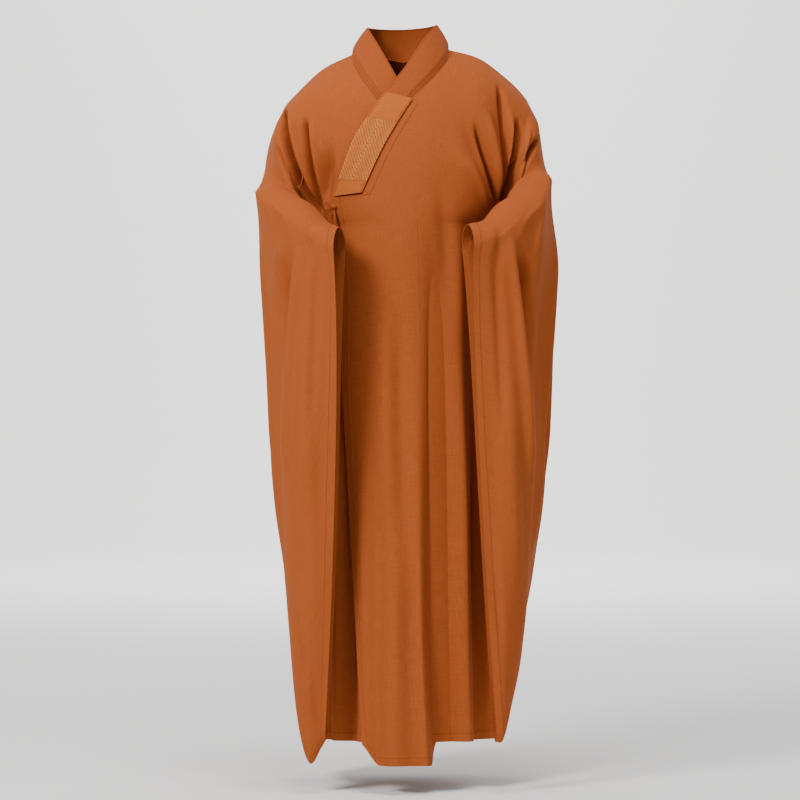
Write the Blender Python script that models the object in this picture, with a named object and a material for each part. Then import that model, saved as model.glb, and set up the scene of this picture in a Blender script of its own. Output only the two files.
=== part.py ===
import math

import bpy
import numpy as np

# A wide-sleeved, cross-collared robe in its worn form. Metres, +Z up. The front faces -Y, and +X is the wearer's
# left. The origin is at the base of the neck, midway between the shoulders.

# Cloth walls and the gaps at seams
WALL = 0.0016
COLLAR_WALL = 0.0011
SEAM_GAP = 0.0003
ARMHOLE_GAP = 0.0008
LAYER_GAP = 0.0066  # the outer front lies this far before the inner front

# Overall sizes
UNDERARM_DROP = 0.330  # from the origin down to the underarm
HEM_DROP = 1.330  # from the origin down to the hem at the sides
FRONT_DIP = 0.052  # how much lower the hem of the outer overlap hangs
LEFT_LIFT = 0.012  # the wearer's left shoulder is this much higher
LEFT_REACH = 0.012  # and this much wider

# How finely the cloth is divided
BODY_ROWS_BELOW = 11
ARMHOLE_ROWS = 12
BODY_COLUMNS = 14
OVERLAP_COLUMNS = 12
INNER_OVERLAP_COLUMNS = 7
ROW_CROWDING = 1.35  # rows lie closer together towards the shoulder
ROW_STEPS = 65  # how finely a row is measured to find a distance along it
HALVINGS = 22  # how often a height is halved in on


def table(names, *rows):
    columns = np.array(rows, dtype=float).T
    return dict(zip(names.split(), columns))


def curve(keys, values, at):
    slopes = np.gradient(values, keys)
    at = np.clip(at, keys[0], keys[-1])
    i = np.clip(np.searchsorted(keys, at, side="right") - 1, 0, len(keys) - 2)
    step = keys[i + 1] - keys[i]
    t = (at - keys[i]) / step
    rise = values[i + 1] - values[i]
    bend_a = slopes[i] * step - rise
    bend_b = rise - slopes[i + 1] * step
    return values[i] + rise * t + t * (1 - t) * (bend_a * (1 - t) + bend_b * t)


def curve_of(columns, key, name, at):
    return curve(columns[key], columns[name], at)


def ramp(low, high, at):
    t = np.clip((at - low) / (high - low), 0.0, 1.0)
    return t * t * (3.0 - 2.0 * t)


# Sections of the body below the underarm. "down" is the share of the way from the underarm to the hem.
SECTIONS = table(
    "down half_width side_y front_y back_y",
    (0.00, 0.172, 0.010, -0.126, 0.114),
    (0.15, 0.171, 0.010, -0.128, 0.118),
    (0.40, 0.173, 0.006, -0.137, 0.130),
    (0.70, 0.182, 0.002, -0.152, 0.148),
    (1.00, 0.192, 0.000, -0.168, 0.168),
)

# Lines from the shoulder ridge (q 0) to the level of the underarm (q 1): the centre of the front and back,
# and the front and back of the armhole.
CENTRE_FRONT = table(
    "q y z",
    (0.00, 0.000, 0.022),
    (0.10, -0.048, -0.012),
    (0.20, -0.080, -0.050),
    (0.30, -0.097, -0.083),
    (0.45, -0.112, -0.142),
    (0.60, -0.120, -0.200),
    (0.80, -0.124, -0.280),
    (1.00, -0.126, -0.330),
)
CENTRE_BACK = table(
    "q y z",
    (0.00, 0.000, 0.022),
    (0.10, 0.044, 0.018),
    (0.20, 0.074, 0.000),
    (0.30, 0.092, -0.030),
    (0.45, 0.106, -0.090),
    (0.60, 0.113, -0.160),
    (0.80, 0.114, -0.250),
    (1.00, 0.114, -0.330),
)
ARMHOLE_FRONT = table(
    "q x y z",
    (0.00, 0.233, 0.014, -0.094),
    (0.18, 0.236, -0.028, -0.114),
    (0.40, 0.224, -0.053, -0.170),
    (0.62, 0.206, -0.057, -0.234),
    (0.80, 0.190, -0.042, -0.286),
    (0.90, 0.180, -0.021, -0.311),
    (1.00, 0.172, 0.010, -0.330),
)
ARMHOLE_BACK = table(
    "q x y z",
    (0.00, 0.233, 0.014, -0.094),
    (0.18, 0.236, 0.056, -0.116),
    (0.40, 0.226, 0.082, -0.176),
    (0.62, 0.208, 0.082, -0.240),
    (0.80, 0.191, 0.061, -0.289),
    (0.90, 0.181, 0.038, -0.311),
    (1.00, 0.172, 0.010, -0.330),
)

# Neckline and front edges, as distances from the centre line at each height of the front
OUTER_EDGE = table(  # where the collar's seam crosses the chest, from the neck to the end of the lapel
    "q x",
    (0.00, 0.0900),
    (0.10, 0.0840),
    (0.20, 0.0590),
    (0.30, 0.0270),
    (0.45, -0.0120),
    (0.60, -0.0440),
    (0.80, -0.0800),
)
INNER_EDGE = table(  # the same for the under lapel, which runs the other way
    "q x",
    (0.00, -0.1010),
    (0.10, -0.0950),
    (0.20, -0.0780),
    (0.30, -0.0560),
    (0.45, -0.0180),
    (0.60, 0.0240),
    (0.80, 0.0760),
)
LEFT_NECK = 0.0900  # from the centre to the collar's seam at the top of each shoulder
RIGHT_NECK = 0.1010
NECK_BACK = table(
    "q x",
    (0.000, 0.090),
    (0.035, 0.089),
    (0.090, 0.079),
    (0.155, 0.050),
    (0.200, 0.000),
    (1.000, 0.000),
)
LAPEL_END = 0.7818  # share of the way from the shoulder to the underarm where the lapels end
SEAM_TOP_X = 0.027
SEAM_X = table("down x", (0.0, SEAM_TOP_X), (0.35, 0.036), (0.8, 0.040), (1.0, 0.048))
FREE_EDGE = table(  # the outer overlap's free edge
    "down x",
    (0.00, -0.122),
    (0.12, -0.116),
    (0.33, -0.114),
    (0.46, -0.104),
    (0.70, -0.086),
    (0.90, -0.073),
    (1.00, -0.067),
)
LAPEL_END_STEP = 0.018
LAPEL_END_HALF = 0.134  # from the centre to the lapel's outer corner
INNER_SEAM_X = -0.056
INNER_FREE_X = 0.118
OVERLAP_TOP = 0.30  # the overlaps end in a point under the collar at this share of the way to the underarm
LEAST_WIDTH = 0.0012  # of an overlap, at that point

# Folds of the body: a ridge where height is above zero, a trough where it is below. Each runs between two
# heights along a straight line, and fades over its last part. All in metres.
FRONT_FOLDS = table(
    "top_x top_z foot_x foot_z width height fade",
    (0.187, -0.045, 0.190, -0.290, 0.020, -0.010, 0.08),
    (0.120, -0.150, 0.164, -0.262, 0.019, -0.010, 0.07),
    (0.158, -0.080, 0.160, -0.250, 0.018, 0.006, 0.07),
    (-0.200, -0.140, -0.170, -0.290, 0.012, -0.010, 0.05),
    (-0.172, -0.120, -0.155, -0.290, 0.018, 0.006, 0.07),
)
OUTER_FOLDS = table(
    "top_x top_z foot_x foot_z width height fade",
    (0.100, -0.620, 0.106, -1.340, 0.016, 0.020, 0.30),
    (0.070, -0.560, 0.074, -1.340, 0.020, -0.004, 0.19),
    (0.150, -0.700, 0.156, -1.340, 0.024, 0.012, 0.30),
    (-0.035, -0.420, -0.030, -1.000, 0.022, 0.005, 0.19),
)
UNDER_FOLDS = table(
    "top_x top_z foot_x foot_z width height fade",
    (-0.128, -0.700, -0.124, -1.340, 0.011, 0.012, 0.30),
    (-0.106, -0.760, -0.100, -1.340, 0.010, -0.012, 0.30),
    (-0.160, -0.600, -0.160, -1.340, 0.020, 0.014, 0.30),
)
BACK_FOLDS = table(
    "top_x top_z foot_x foot_z width height fade",
    (0.110, -0.180, 0.126, -1.340, 0.024, 0.016, 0.30),
    (0.062, -0.420, 0.070, -1.340, 0.022, -0.014, 0.35),
    (0.028, -0.560, 0.024, -1.340, 0.020, 0.014, 0.30),
    (-0.108, -0.200, -0.122, -1.340, 0.026, 0.015, 0.30),
    (-0.064, -0.480, -0.070, -1.340, 0.022, -0.013, 0.30),
    (-0.026, -0.380, -0.026, -1.340, 0.020, 0.010, 0.35),
    (0.160, -0.240, 0.150, -0.600, 0.020, 0.008, 0.12),
    (-0.162, -0.240, -0.152, -0.620, 0.020, 0.009, 0.12),
)
# The outer overlap hangs forward as one broad fold that turns back sharply at the centre-front seam
BROAD_FOLD_DEPTH = 0.050
BROAD_FOLD_START = 0.46
BROAD_FOLD_TURN = 0.024


def fold_height(folds, x, z):
    total = np.zeros_like(x)
    for i in range(len(folds["height"])):
        top_z = folds["top_z"][i]
        foot_z = folds["foot_z"][i]
        along = (top_z - z) / (top_z - foot_z)
        line_x = folds["top_x"][i] + (folds["foot_x"][i] - folds["top_x"][i]) * along
        across = (x - line_x) / folds["width"][i]
        fade = folds["fade"][i]
        start = ramp(top_z, top_z - fade, z)
        to_hem = foot_z < -HEM_DROP
        finish = 1.0 if to_hem else 1.0 - ramp(foot_z + fade, foot_z, z)
        total = total + folds["height"][i] * np.exp(-across * across) * start * finish
    return total


ROUND_UP_TO = 1.35  # the skirt's round section has turned into the shoulders' flatter one at this row
LEFT_SLOPE = 3.0  # how late the left shoulder's line falls away, and the right one's
RIGHT_SLOPE = 2.5


def torso(u, w):
    """The plain form. u runs from the wearer's right (-1) to the left (1), and w from the front hem (0) over the
    shoulder (2) to the back hem (4)."""
    size = np.abs(u)
    left = u > 0
    front = w <= 2.0
    v = np.where(front, w, 4.0 - w)
    q = np.clip(2.0 - v, 0.0, 1.0)
    down = np.clip(1.0 - v, 0.0, 1.0)
    lift = np.where(left, LEFT_LIFT, 0.0) * (1.0 - q) ** 2
    reach = np.where(left, LEFT_REACH, 0.0) * (1.0 - q)

    hole_x = np.where(front, curve_of(ARMHOLE_FRONT, "q", "x", q), curve_of(ARMHOLE_BACK, "q", "x", q))
    hole_x = hole_x + reach
    hole_y = np.where(front, curve_of(ARMHOLE_FRONT, "q", "y", q), curve_of(ARMHOLE_BACK, "q", "y", q))
    hole_z = np.where(front, curve_of(ARMHOLE_FRONT, "q", "z", q), curve_of(ARMHOLE_BACK, "q", "z", q)) + lift
    mid_y = np.where(front, curve_of(CENTRE_FRONT, "q", "y", q), curve_of(CENTRE_BACK, "q", "y", q))
    mid_z = np.where(front, curve_of(CENTRE_FRONT, "q", "z", q), curve_of(CENTRE_BACK, "q", "z", q))

    skirt = v < 1.0
    out_x = np.where(skirt, curve_of(SECTIONS, "down", "half_width", down), hole_x)
    out_y = np.where(skirt, curve_of(SECTIONS, "down", "side_y", down), hole_y)
    skirt_front = curve_of(SECTIONS, "down", "front_y", down)
    skirt_back = curve_of(SECTIONS, "down", "back_y", down)
    mid_y = np.where(skirt, np.where(front, skirt_front, skirt_back), mid_y)

    round_share = 1.0 - ramp(1.0, ROUND_UP_TO, v)
    x = out_x * ((1.0 - round_share) * size + round_share * np.sin(size * math.pi / 2))
    bow = (1.0 - round_share) * (1.0 - size**2) + round_share * np.cos(size * math.pi / 2)
    y = out_y + (mid_y - out_y) * bow
    slope = np.where(left, LEFT_SLOPE, RIGHT_SLOPE)
    z_above = mid_z + (hole_z - mid_z) * size**slope
    z_below = -UNDERARM_DROP - down * (HEM_DROP - UNDERARM_DROP)
    z = np.where(skirt, z_below, z_above)
    return np.stack([np.sign(u) * x, y, z], axis=-1)


def u_at(x, w):
    """The u of a distance x from the centre line, on row w."""
    grid = np.linspace(0.0, 1.0, ROW_STEPS)
    side = 1.0 if x >= 0 else -1.0
    row = torso(grid * side, np.full_like(grid, w))
    return side * float(np.interp(abs(x), np.abs(row[:, 0]), grid))


INSIDE_U = 0.987  # directions out of the cloth are measured no nearer to the armhole than this
NORMAL_REACH = 0.012  # how far to each side, in u and w, a direction is measured
CALM_FROM = 0.86  # folds fade out from here to the armhole
HELD_UP_TO = (1.80, 2.0)  # rows over which the outer front comes down onto the shoulder
HELD_ACROSS = (0.72, 1.0)  # and the part of its width over which it meets the armhole


def normals_of(surface, u, w):
    across = surface(u + NORMAL_REACH, w) - surface(u - NORMAL_REACH, w)
    along = surface(u, w + NORMAL_REACH) - surface(u, w - NORMAL_REACH)
    normal = np.cross(across, along)
    return normal / np.linalg.norm(normal, axis=-1, keepdims=True)


def cloth(layer):
    """The draped surface of one layer: "inner" is the right front and the whole back, "outer" the left front."""

    def surface(u, w):
        u = np.clip(u, -1.0, 1.0)
        w = np.clip(w, 0.0, 4.0)
        point = torso(u, w)
        inside_w = np.clip(w, NORMAL_REACH, 4.0 - NORMAL_REACH)
        normal = normals_of(torso, np.clip(u, -INSIDE_U, INSIDE_U), inside_w)
        x = point[..., 0]
        z = point[..., 2]
        front = w < 2.0
        edge = 1.0 - ramp(CALM_FROM, 1.0, np.abs(u))
        height = np.where(front, fold_height(FRONT_FOLDS, x, z), fold_height(BACK_FOLDS, x, z)) * edge
        dip = np.zeros_like(x)
        if layer == "outer":
            v = np.where(front, w, 0.0)
            held = 1.0 - ramp(*HELD_UP_TO, v)
            held = held * np.where(u > 0, 1.0 - ramp(*HELD_ACROSS, u), 1.0)
            down = np.clip(1.0 - v, 0.0, 1.0)
            seam_x = curve_of(SEAM_X, "down", "x", down)
            plateau = 1.0 - ramp(seam_x - 0.004, seam_x + BROAD_FOLD_TURN, x)
            broad = BROAD_FOLD_DEPTH * ramp(BROAD_FOLD_START - 0.25, 1.15, down) * plateau
            free_x = curve_of(FREE_EDGE, "down", "x", down)
            broad = broad * (0.45 + 0.55 * ramp(free_x, free_x + 0.05, x))
            more = LAYER_GAP * held + broad + fold_height(OUTER_FOLDS, x, z) * edge
            height = height + np.where(front, more, 0.0)
            dip_share = ramp(free_x - 0.005, free_x + 0.030, x)
            dip_share = dip_share * (1.0 - ramp(seam_x - 0.002, seam_x + 0.022, x))
            dip = np.where(front, FRONT_DIP * down * down * dip_share, 0.0)
        else:
            height = height + np.where(front, fold_height(UNDER_FOLDS, x, z) * edge, 0.0)
        point = point + normal * height[..., None]
        point[..., 2] -= dip
        return point

    return surface


INNER = cloth("inner")
OUTER = cloth("outer")


def front_row_of(x, z):
    """The (u, w) of the front of the plain form at x and z."""
    low, high = 0.0, 2.0
    for _ in range(HALVINGS):
        w = (low + high) / 2
        point = torso(np.array([u_at(x, w)]), np.array([w]))[0]
        if point[2] < z:
            low = w
        else:
            high = w
    return u_at(x, w), w


def front_y(surface, x, z):
    u, w = front_row_of(x, z)
    return float(surface(np.array([u]), np.array([w]))[0][1])


def new_material(name, colour, roughness):
    material = bpy.data.materials.new(name)
    material.use_nodes = True
    shader = material.node_tree.nodes["Principled BSDF"]
    shader.inputs["Base Color"].default_value = (*colour, 1.0)
    shader.inputs["Roughness"].default_value = roughness
    shader.inputs["Metallic"].default_value = 0.0
    return material


def volume_of(vertices, faces):
    total = 0.0
    for face in faces:
        first = vertices[face[0]]
        for k in range(1, len(face) - 1):
            total += np.dot(first, np.cross(vertices[face[k]], vertices[face[k + 1]]))
    return total / 6.0


def add_object(name, vertices, faces, colour, roughness=0.85):
    if volume_of(vertices, faces) < 0:
        faces = [tuple(reversed(face)) for face in faces]
    mesh = bpy.data.meshes.new(name)
    mesh.from_pydata([tuple(map(float, v)) for v in vertices], [], faces)
    mesh.validate()
    mesh.shade_smooth()
    obj = bpy.data.objects.new(name, mesh)
    obj.data.materials.append(new_material(name + "_cloth", colour, roughness))
    bpy.context.scene.collection.objects.link(obj)
    return obj


def wall(name, outside, inside, colour, ring=False):
    """A closed wall between two grids of points. With ring, each row closes on itself."""
    rows, columns = outside.shape[:2]
    count = rows * columns
    vertices = np.concatenate([outside.reshape(-1, 3), inside.reshape(-1, 3)])
    faces = []
    spans = columns if ring else columns - 1
    for i in range(rows - 1):
        for j in range(spans):
            k = (j + 1) % columns
            a, b = i * columns + j, i * columns + k
            c, d = (i + 1) * columns + k, (i + 1) * columns + j
            faces.append((a, b, c))
            faces.append((a, c, d))
            faces.append((count + c, count + b, count + a))
            faces.append((count + d, count + c, count + a))
    for j in range(spans):
        k = (j + 1) % columns
        top = (rows - 1) * columns
        faces.append((k, j, count + j, count + k))
        faces.append((top + j, top + k, count + top + k, count + top + j))
    if not ring:
        for i in range(rows - 1):
            a, d = i * columns, (i + 1) * columns
            b, c = a + columns - 1, d + columns - 1
            faces.append((a, d, count + d, count + a))
            faces.append((c, b, count + b, count + c))
    return add_object(name, vertices, faces, colour)


def arm_shares(count):
    """Shares of the way from the shoulder to the underarm, closer together near the shoulder."""
    return (np.arange(count + 1) / count) ** ROW_CROWDING


def front_rows():
    below = np.linspace(0.0, 1.0, BODY_ROWS_BELOW + 1)
    above = 2.0 - arm_shares(ARMHOLE_ROWS)[::-1]
    return np.concatenate([below, above[1:]])


CLOTH_COLOUR = (0.52, 0.155, 0.038)
BAND_COLOUR = (0.45, 0.115, 0.028)
PATCH_COLOUR = (0.63, 0.195, 0.045)
EDGE_U = 1.0 - SEAM_GAP / 2 / 0.2


def panel(name, surface, rows, low_x, high_x, columns, colour=CLOTH_COLOUR, rim=None):
    """A piece of a layer. low_x and high_x give its edges on each row, as distances from the centre line."""
    u = np.zeros((len(rows), columns + 1))
    w = np.zeros_like(u)
    for i, row in enumerate(rows):
        a = low_x(row)
        b = high_x(row)
        low = -EDGE_U if a is None else u_at(a, row)
        high = EDGE_U if b is None else u_at(b, row)
        u[i] = np.linspace(low, high, columns + 1)
        w[i] = row
    outside = surface(u, w)
    normal = normals_of(surface, np.clip(u, -INSIDE_U, INSIDE_U), w)
    if rim is not None:
        edge = -1 if rim["side"] > 0 else 0
        for share, front, back in zip(rim["shares"], rim["front"], rim["back"]):
            normal[np.abs(rows - (2.0 - share)) < 1e-6, edge] = front
            normal[np.abs(rows - (2.0 + share)) < 1e-6, edge] = back
    return wall(name, outside, outside - normal * WALL, colour)


def down_of(row):
    return float(np.clip(1.0 - row, 0.0, 1.0))


def outer_seam_x(row):
    """The left body's inner edge: centre-front seam, collar's seam, back neck and back seam."""
    half = SEAM_GAP / 2
    if row <= 1.0:
        return float(curve_of(SEAM_X, "down", "x", down_of(row))) + half
    q = 2.0 - row if row <= 2.0 else row - 2.0
    if row <= 2.0:
        return max(SEAM_TOP_X, float(curve_of(OUTER_EDGE, "q", "x", q))) + half
    if row < 3.0:
        return neck_back_x(q, LEFT_NECK) + half
    return half


def neck_back_x(q, wide):
    return max(0.0, float(curve_of(NECK_BACK, "q", "x", q))) * wide / LEFT_NECK


def inner_seam_x(row):
    half = SEAM_GAP / 2
    if row <= 1.0:
        return INNER_SEAM_X - half
    q = 2.0 - row if row <= 2.0 else row - 2.0
    if row <= 2.0:
        return min(INNER_SEAM_X, float(curve_of(INNER_EDGE, "q", "x", q))) - half
    if row < 3.0:
        return -neck_back_x(q, RIGHT_NECK) - half
    return -half


def make_bodies(left_rim, right_rim):
    front = front_rows()
    rows = np.concatenate([front, (4.0 - front[::-1])[1:]])
    panel("body_left", OUTER, rows, outer_seam_x, lambda row: None, BODY_COLUMNS, rim=left_rim)
    panel("body_right", INNER, rows, lambda row: None, inner_seam_x, BODY_COLUMNS, rim=right_rim)


def overlap_rows():
    end = 2.0 - LAPEL_END
    rows = [row for row in front_rows() if row <= 2.0 - OVERLAP_TOP and abs(row - end) > 1e-3]
    return np.array(sorted(rows + [end, end - LAPEL_END_STEP]))


def outer_free_x(row):
    half = SEAM_GAP / 2
    if row <= 1.0:
        return float(curve_of(FREE_EDGE, "down", "x", down_of(row)))
    q = 2.0 - row
    if q > LAPEL_END + LAPEL_END_STEP / 2:
        share = (1.0 - q) / (1.0 - LAPEL_END)
        return FREE_EDGE["x"][0] + (-LAPEL_END_HALF - FREE_EDGE["x"][0]) * share
    return float(curve_of(OUTER_EDGE, "q", "x", q)) + half


def inner_free_x(row):
    half = SEAM_GAP / 2
    if row <= 1.0:
        return INNER_FREE_X
    q = 2.0 - row
    if q > LAPEL_END + LAPEL_END_STEP / 2:
        return INNER_FREE_X
    return float(curve_of(INNER_EDGE, "q", "x", q)) - half


def outer_high_x(row):
    seam = outer_seam_x(row) - SEAM_GAP if row <= 1.0 else SEAM_TOP_X - SEAM_GAP / 2
    return max(seam, outer_free_x(row) + LEAST_WIDTH)


def inner_low_x(row):
    return min(INNER_SEAM_X + SEAM_GAP / 2, inner_free_x(row) - LEAST_WIDTH)


def make_overlaps():
    rows = overlap_rows()
    panel("overlap_outer", OUTER, rows, outer_free_x, outer_high_x, OVERLAP_COLUMNS)
    panel("overlap_inner", INNER, rows, inner_low_x, inner_free_x, INNER_OVERLAP_COLUMNS)


# Sleeves: each is a run of rings from the armhole to the cuff. At each ring the lines give the top of the arm, a
# point halfway down the hanging bag, and its bottom fold. The form gives the way the ring's inner face looks (turn,
# in degrees from the front towards the body and round to the back), the room round the arm and lower in the bag
# on either side, the roundness of the bottom fold, how fast the cloth falls in under the arm, and the share of
# each side's points that go round the arm. Distances outwards from the centre are positive.
UPPER_ARM = table(  # the ring halfway down the upper arm, from its top round the front and round the back
    "share front_x front_y front_z back_x back_y back_z",
    (0.00, 0.256, 0.006, -0.150, 0.256, 0.006, -0.150),
    (0.06, 0.255, -0.024, -0.155, 0.264, 0.036, -0.160),
    (0.15, 0.249, -0.046, -0.166, 0.270, 0.062, -0.182),
    (0.30, 0.235, -0.060, -0.192, 0.270, 0.080, -0.224),
    (0.50, 0.217, -0.063, -0.240, 0.260, 0.086, -0.288),
    (0.75, 0.205, -0.044, -0.326, 0.240, 0.070, -0.380),
    (1.00, 0.208, 0.012, -0.450, 0.208, 0.012, -0.450),
)
RIGHT_SLEEVE_LINES = table(
    "top_x top_y top_z mid_x mid_y mid_z foot_x foot_y foot_z",
    (0.256, -0.056, -0.236, 0.240, -0.050, -0.500, 0.228, -0.020, -0.770),
    (0.250, -0.099, -0.244, 0.238, -0.084, -0.560, 0.226, -0.054, -0.930),
    (0.226, -0.134, -0.262, 0.236, -0.126, -0.640, 0.208, -0.096, -1.080),
    (0.188, -0.168, -0.294, 0.212, -0.190, -0.660, 0.197, -0.154, -1.258),
    (0.151, -0.198, -0.331, 0.174, -0.220, -0.740, 0.178, -0.188, -1.366),
    (0.121, -0.212, -0.345, 0.125, -0.222, -0.780, 0.146, -0.198, -1.322),
)
RIGHT_SLEEVE_FORM = table(
    "turn inner_arm outer_arm inner_gap outer_gap foot_round fall arm_share",
    (60, 0.050, 0.034, 0.034, 0.030, 0.110, 2.5, 0.42),
    (100, 0.048, 0.038, 0.026, 0.024, 0.080, 4.0, 0.40),
    (120, 0.046, 0.042, 0.017, 0.016, 0.070, 6.0, 0.34),
    (135, 0.044, 0.042, 0.013, 0.014, 0.060, 7.0, 0.27),
    (152, 0.044, 0.042, 0.012, 0.014, 0.044, 7.0, 0.22),
    (166, 0.044, 0.045, 0.012, 0.012, 0.034, 7.0, 0.19),
)
LEFT_SLEEVE_LINES = table(
    "top_x top_y top_z mid_x mid_y mid_z foot_x foot_y foot_z",
    (0.270, -0.056, -0.210, 0.256, -0.050, -0.500, 0.246, -0.020, -0.780),
    (0.262, -0.096, -0.222, 0.262, -0.082, -0.560, 0.240, -0.054, -0.950),
    (0.234, -0.134, -0.256, 0.254, -0.126, -0.640, 0.224, -0.098, -1.090),
    (0.194, -0.168, -0.294, 0.230, -0.192, -0.700, 0.204, -0.156, -1.240),
    (0.156, -0.198, -0.329, 0.180, -0.220, -0.740, 0.190, -0.190, -1.318),
    (0.122, -0.212, -0.340, 0.142, -0.222, -0.780, 0.176, -0.198, -1.325),
)
LEFT_SLEEVE_FORM = table(
    "turn inner_arm outer_arm inner_gap outer_gap foot_round fall arm_share",
    (60, 0.050, 0.034, 0.034, 0.034, 0.110, 2.5, 0.42),
    (100, 0.048, 0.040, 0.028, 0.028, 0.080, 4.0, 0.40),
    (120, 0.046, 0.046, 0.017, 0.018, 0.060, 6.0, 0.34),
    (134, 0.044, 0.044, 0.013, 0.014, 0.050, 7.0, 0.27),
    (152, 0.044, 0.042, 0.012, 0.014, 0.034, 7.0, 0.22),
    (166, 0.044, 0.045, 0.012, 0.012, 0.022, 7.0, 0.19),
)
SLEEVE_RINGS = (0.0, 0.3, 0.65, 1.0, 1.5, 2.0, 2.5, 3.0, 3.5, 4.0, 4.5, 5.0, 5.5, 6.0, 6.5, 7.0)
FOOT_SHARE = 0.79  # from here on the ring's half turns round the bottom fold


def half_ring(row, share, inner):
    """A point of one side of a ring: share 0 is the top of the arm, 1 the bottom fold."""
    arm = row["inner_arm"] if inner else row["outer_arm"]
    gap = row["inner_gap"] if inner else row["outer_gap"]
    top = np.array([row["top_x"], row["top_y"], row["top_z"]])
    mid = np.array([row["mid_x"], row["mid_y"], row["mid_z"]])
    foot = np.array([row["foot_x"], row["foot_y"], row["foot_z"]])
    length = top[2] - foot[2]
    closing = row["foot_round"]
    wraps = row["arm_share"]
    if share < wraps:
        angle = share / wraps * math.pi / 2
        deep = arm * (1.0 - math.cos(angle))
        aside = arm * math.sin(angle)
    elif share < FOOT_SHARE:
        t = (share - wraps) / (FOOT_SHARE - wraps)
        deep = arm + (length - closing - arm) * t
        aside = gap + (arm - gap) * (1.0 - t) ** row["fall"]
    else:
        angle = (share - FOOT_SHARE) / (1.0 - FOOT_SHARE) * math.pi / 2
        deep = length - closing + closing * math.sin(angle)
        aside = gap * math.cos(angle)
    s = deep / length
    m = (top[2] - mid[2]) / length
    centre = (
        top * (s - m) * (s - 1) / m + mid * s * (s - 1) / (m * (m - 1)) + foot * s * (s - m) / (1 - m)
    )
    centre[2] = top[2] - deep
    turn = math.radians(row["turn"])
    way = np.array([-math.sin(turn), -math.cos(turn), 0.0])
    return centre + way * (aside if inner else -aside)


def sleeve_grid(side, stations, shares):
    """Rings of points: front or inner half from the top down, then the back or outer half up again."""
    surface = OUTER if side > 0 else INNER
    sizes = {**RIGHT_SLEEVE_LINES, **RIGHT_SLEEVE_FORM}
    if side > 0:
        sizes = {**LEFT_SLEEVE_LINES, **LEFT_SLEEVE_FORM}
    rows = 2.0 - shares
    down = surface(np.full(len(shares), float(side)), rows)
    up = surface(np.full(len(shares), float(side)), 4.0 - rows)
    down_normal = normals_of(surface, np.full(len(shares), side * INSIDE_U), rows)
    up_normal = normals_of(surface, np.full(len(shares), side * INSIDE_U), 4.0 - rows)
    armhole = np.concatenate([down, up[-2:0:-1]])
    armhole_normal = np.concatenate([down_normal, up_normal[-2:0:-1]])
    count = len(shares) - 1
    upper = []
    for half, order in (("front", range(count + 1)), ("back", range(count - 1, 0, -1))):
        for j in order:
            names = (half + "_x", half + "_y", half + "_z")
            point = [float(curve_of(UPPER_ARM, "share", name, shares[j])) for name in names]
            if side > 0:
                point[0] += LEFT_REACH
                point[2] += LEFT_LIFT
            point[0] *= side
            upper.append(point)
    keys = [armhole, np.array(upper)]
    for i in range(len(sizes["turn"])):
        row = {name: values[i] for name, values in sizes.items()}
        inner = [half_ring(row, share, True) for share in shares]
        outer = [half_ring(row, share, False) for share in shares[-2:0:-1]]
        ring = np.array(inner + outer)
        ring[:, 0] *= side
        keys.append(ring)
    keys = np.array(keys)
    places = np.arange(len(keys), dtype=float)
    grid = np.zeros((len(stations), keys.shape[1], 3))
    for j in range(keys.shape[1]):
        for axis in range(3):
            grid[:, j, axis] = curve(places, keys[:, j, axis], np.array(stations))
    return grid, armhole_normal


def grid_normals(grid, ring):
    """The direction out of a grid of points, at each point the mean of the cells round it."""
    spans = grid if ring else grid[:, :-1]
    beyond = np.roll(grid, -1, axis=1) if ring else grid[:, 1:]
    cells = np.cross(beyond[:-1] - spans[1:], beyond[1:] - spans[:-1])
    normal = np.zeros_like(grid)
    normal[:-1, : cells.shape[1]] += cells
    normal[1:, : cells.shape[1]] += cells
    if ring:
        cells = np.roll(cells, 1, axis=1)
        normal[:-1] += cells
        normal[1:] += cells
    else:
        normal[:-1, 1:] += cells
        normal[1:, 1:] += cells
    return normal / np.linalg.norm(normal, axis=-1, keepdims=True)


def make_sleeve(name, side):
    """The sleeve's wall. It returns the directions in which its armhole edge and the body's are both cut."""
    shares = arm_shares(ARMHOLE_ROWS)
    grid, armhole_normal = sleeve_grid(side, SLEEVE_RINGS, shares)
    normal = grid_normals(grid, True)
    centre = grid.mean(axis=1, keepdims=True)
    if ((grid - centre) * normal).sum() < 0:
        normal = -normal
    meeting = normal[0] + armhole_normal
    normal[0] = meeting / np.linalg.norm(meeting, axis=-1, keepdims=True)
    away = grid[1] - grid[0]
    grid[0] += away / np.linalg.norm(away, axis=-1, keepdims=True) * ARMHOLE_GAP
    wall(name, grid, grid - normal * WALL, CLOTH_COLOUR, ring=True)
    count = len(shares)
    back = np.concatenate([normal[0][:1], normal[0][:count - 2:-1]])
    return {"side": side, "shares": shares, "front": normal[0][:count], "back": back}


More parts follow.
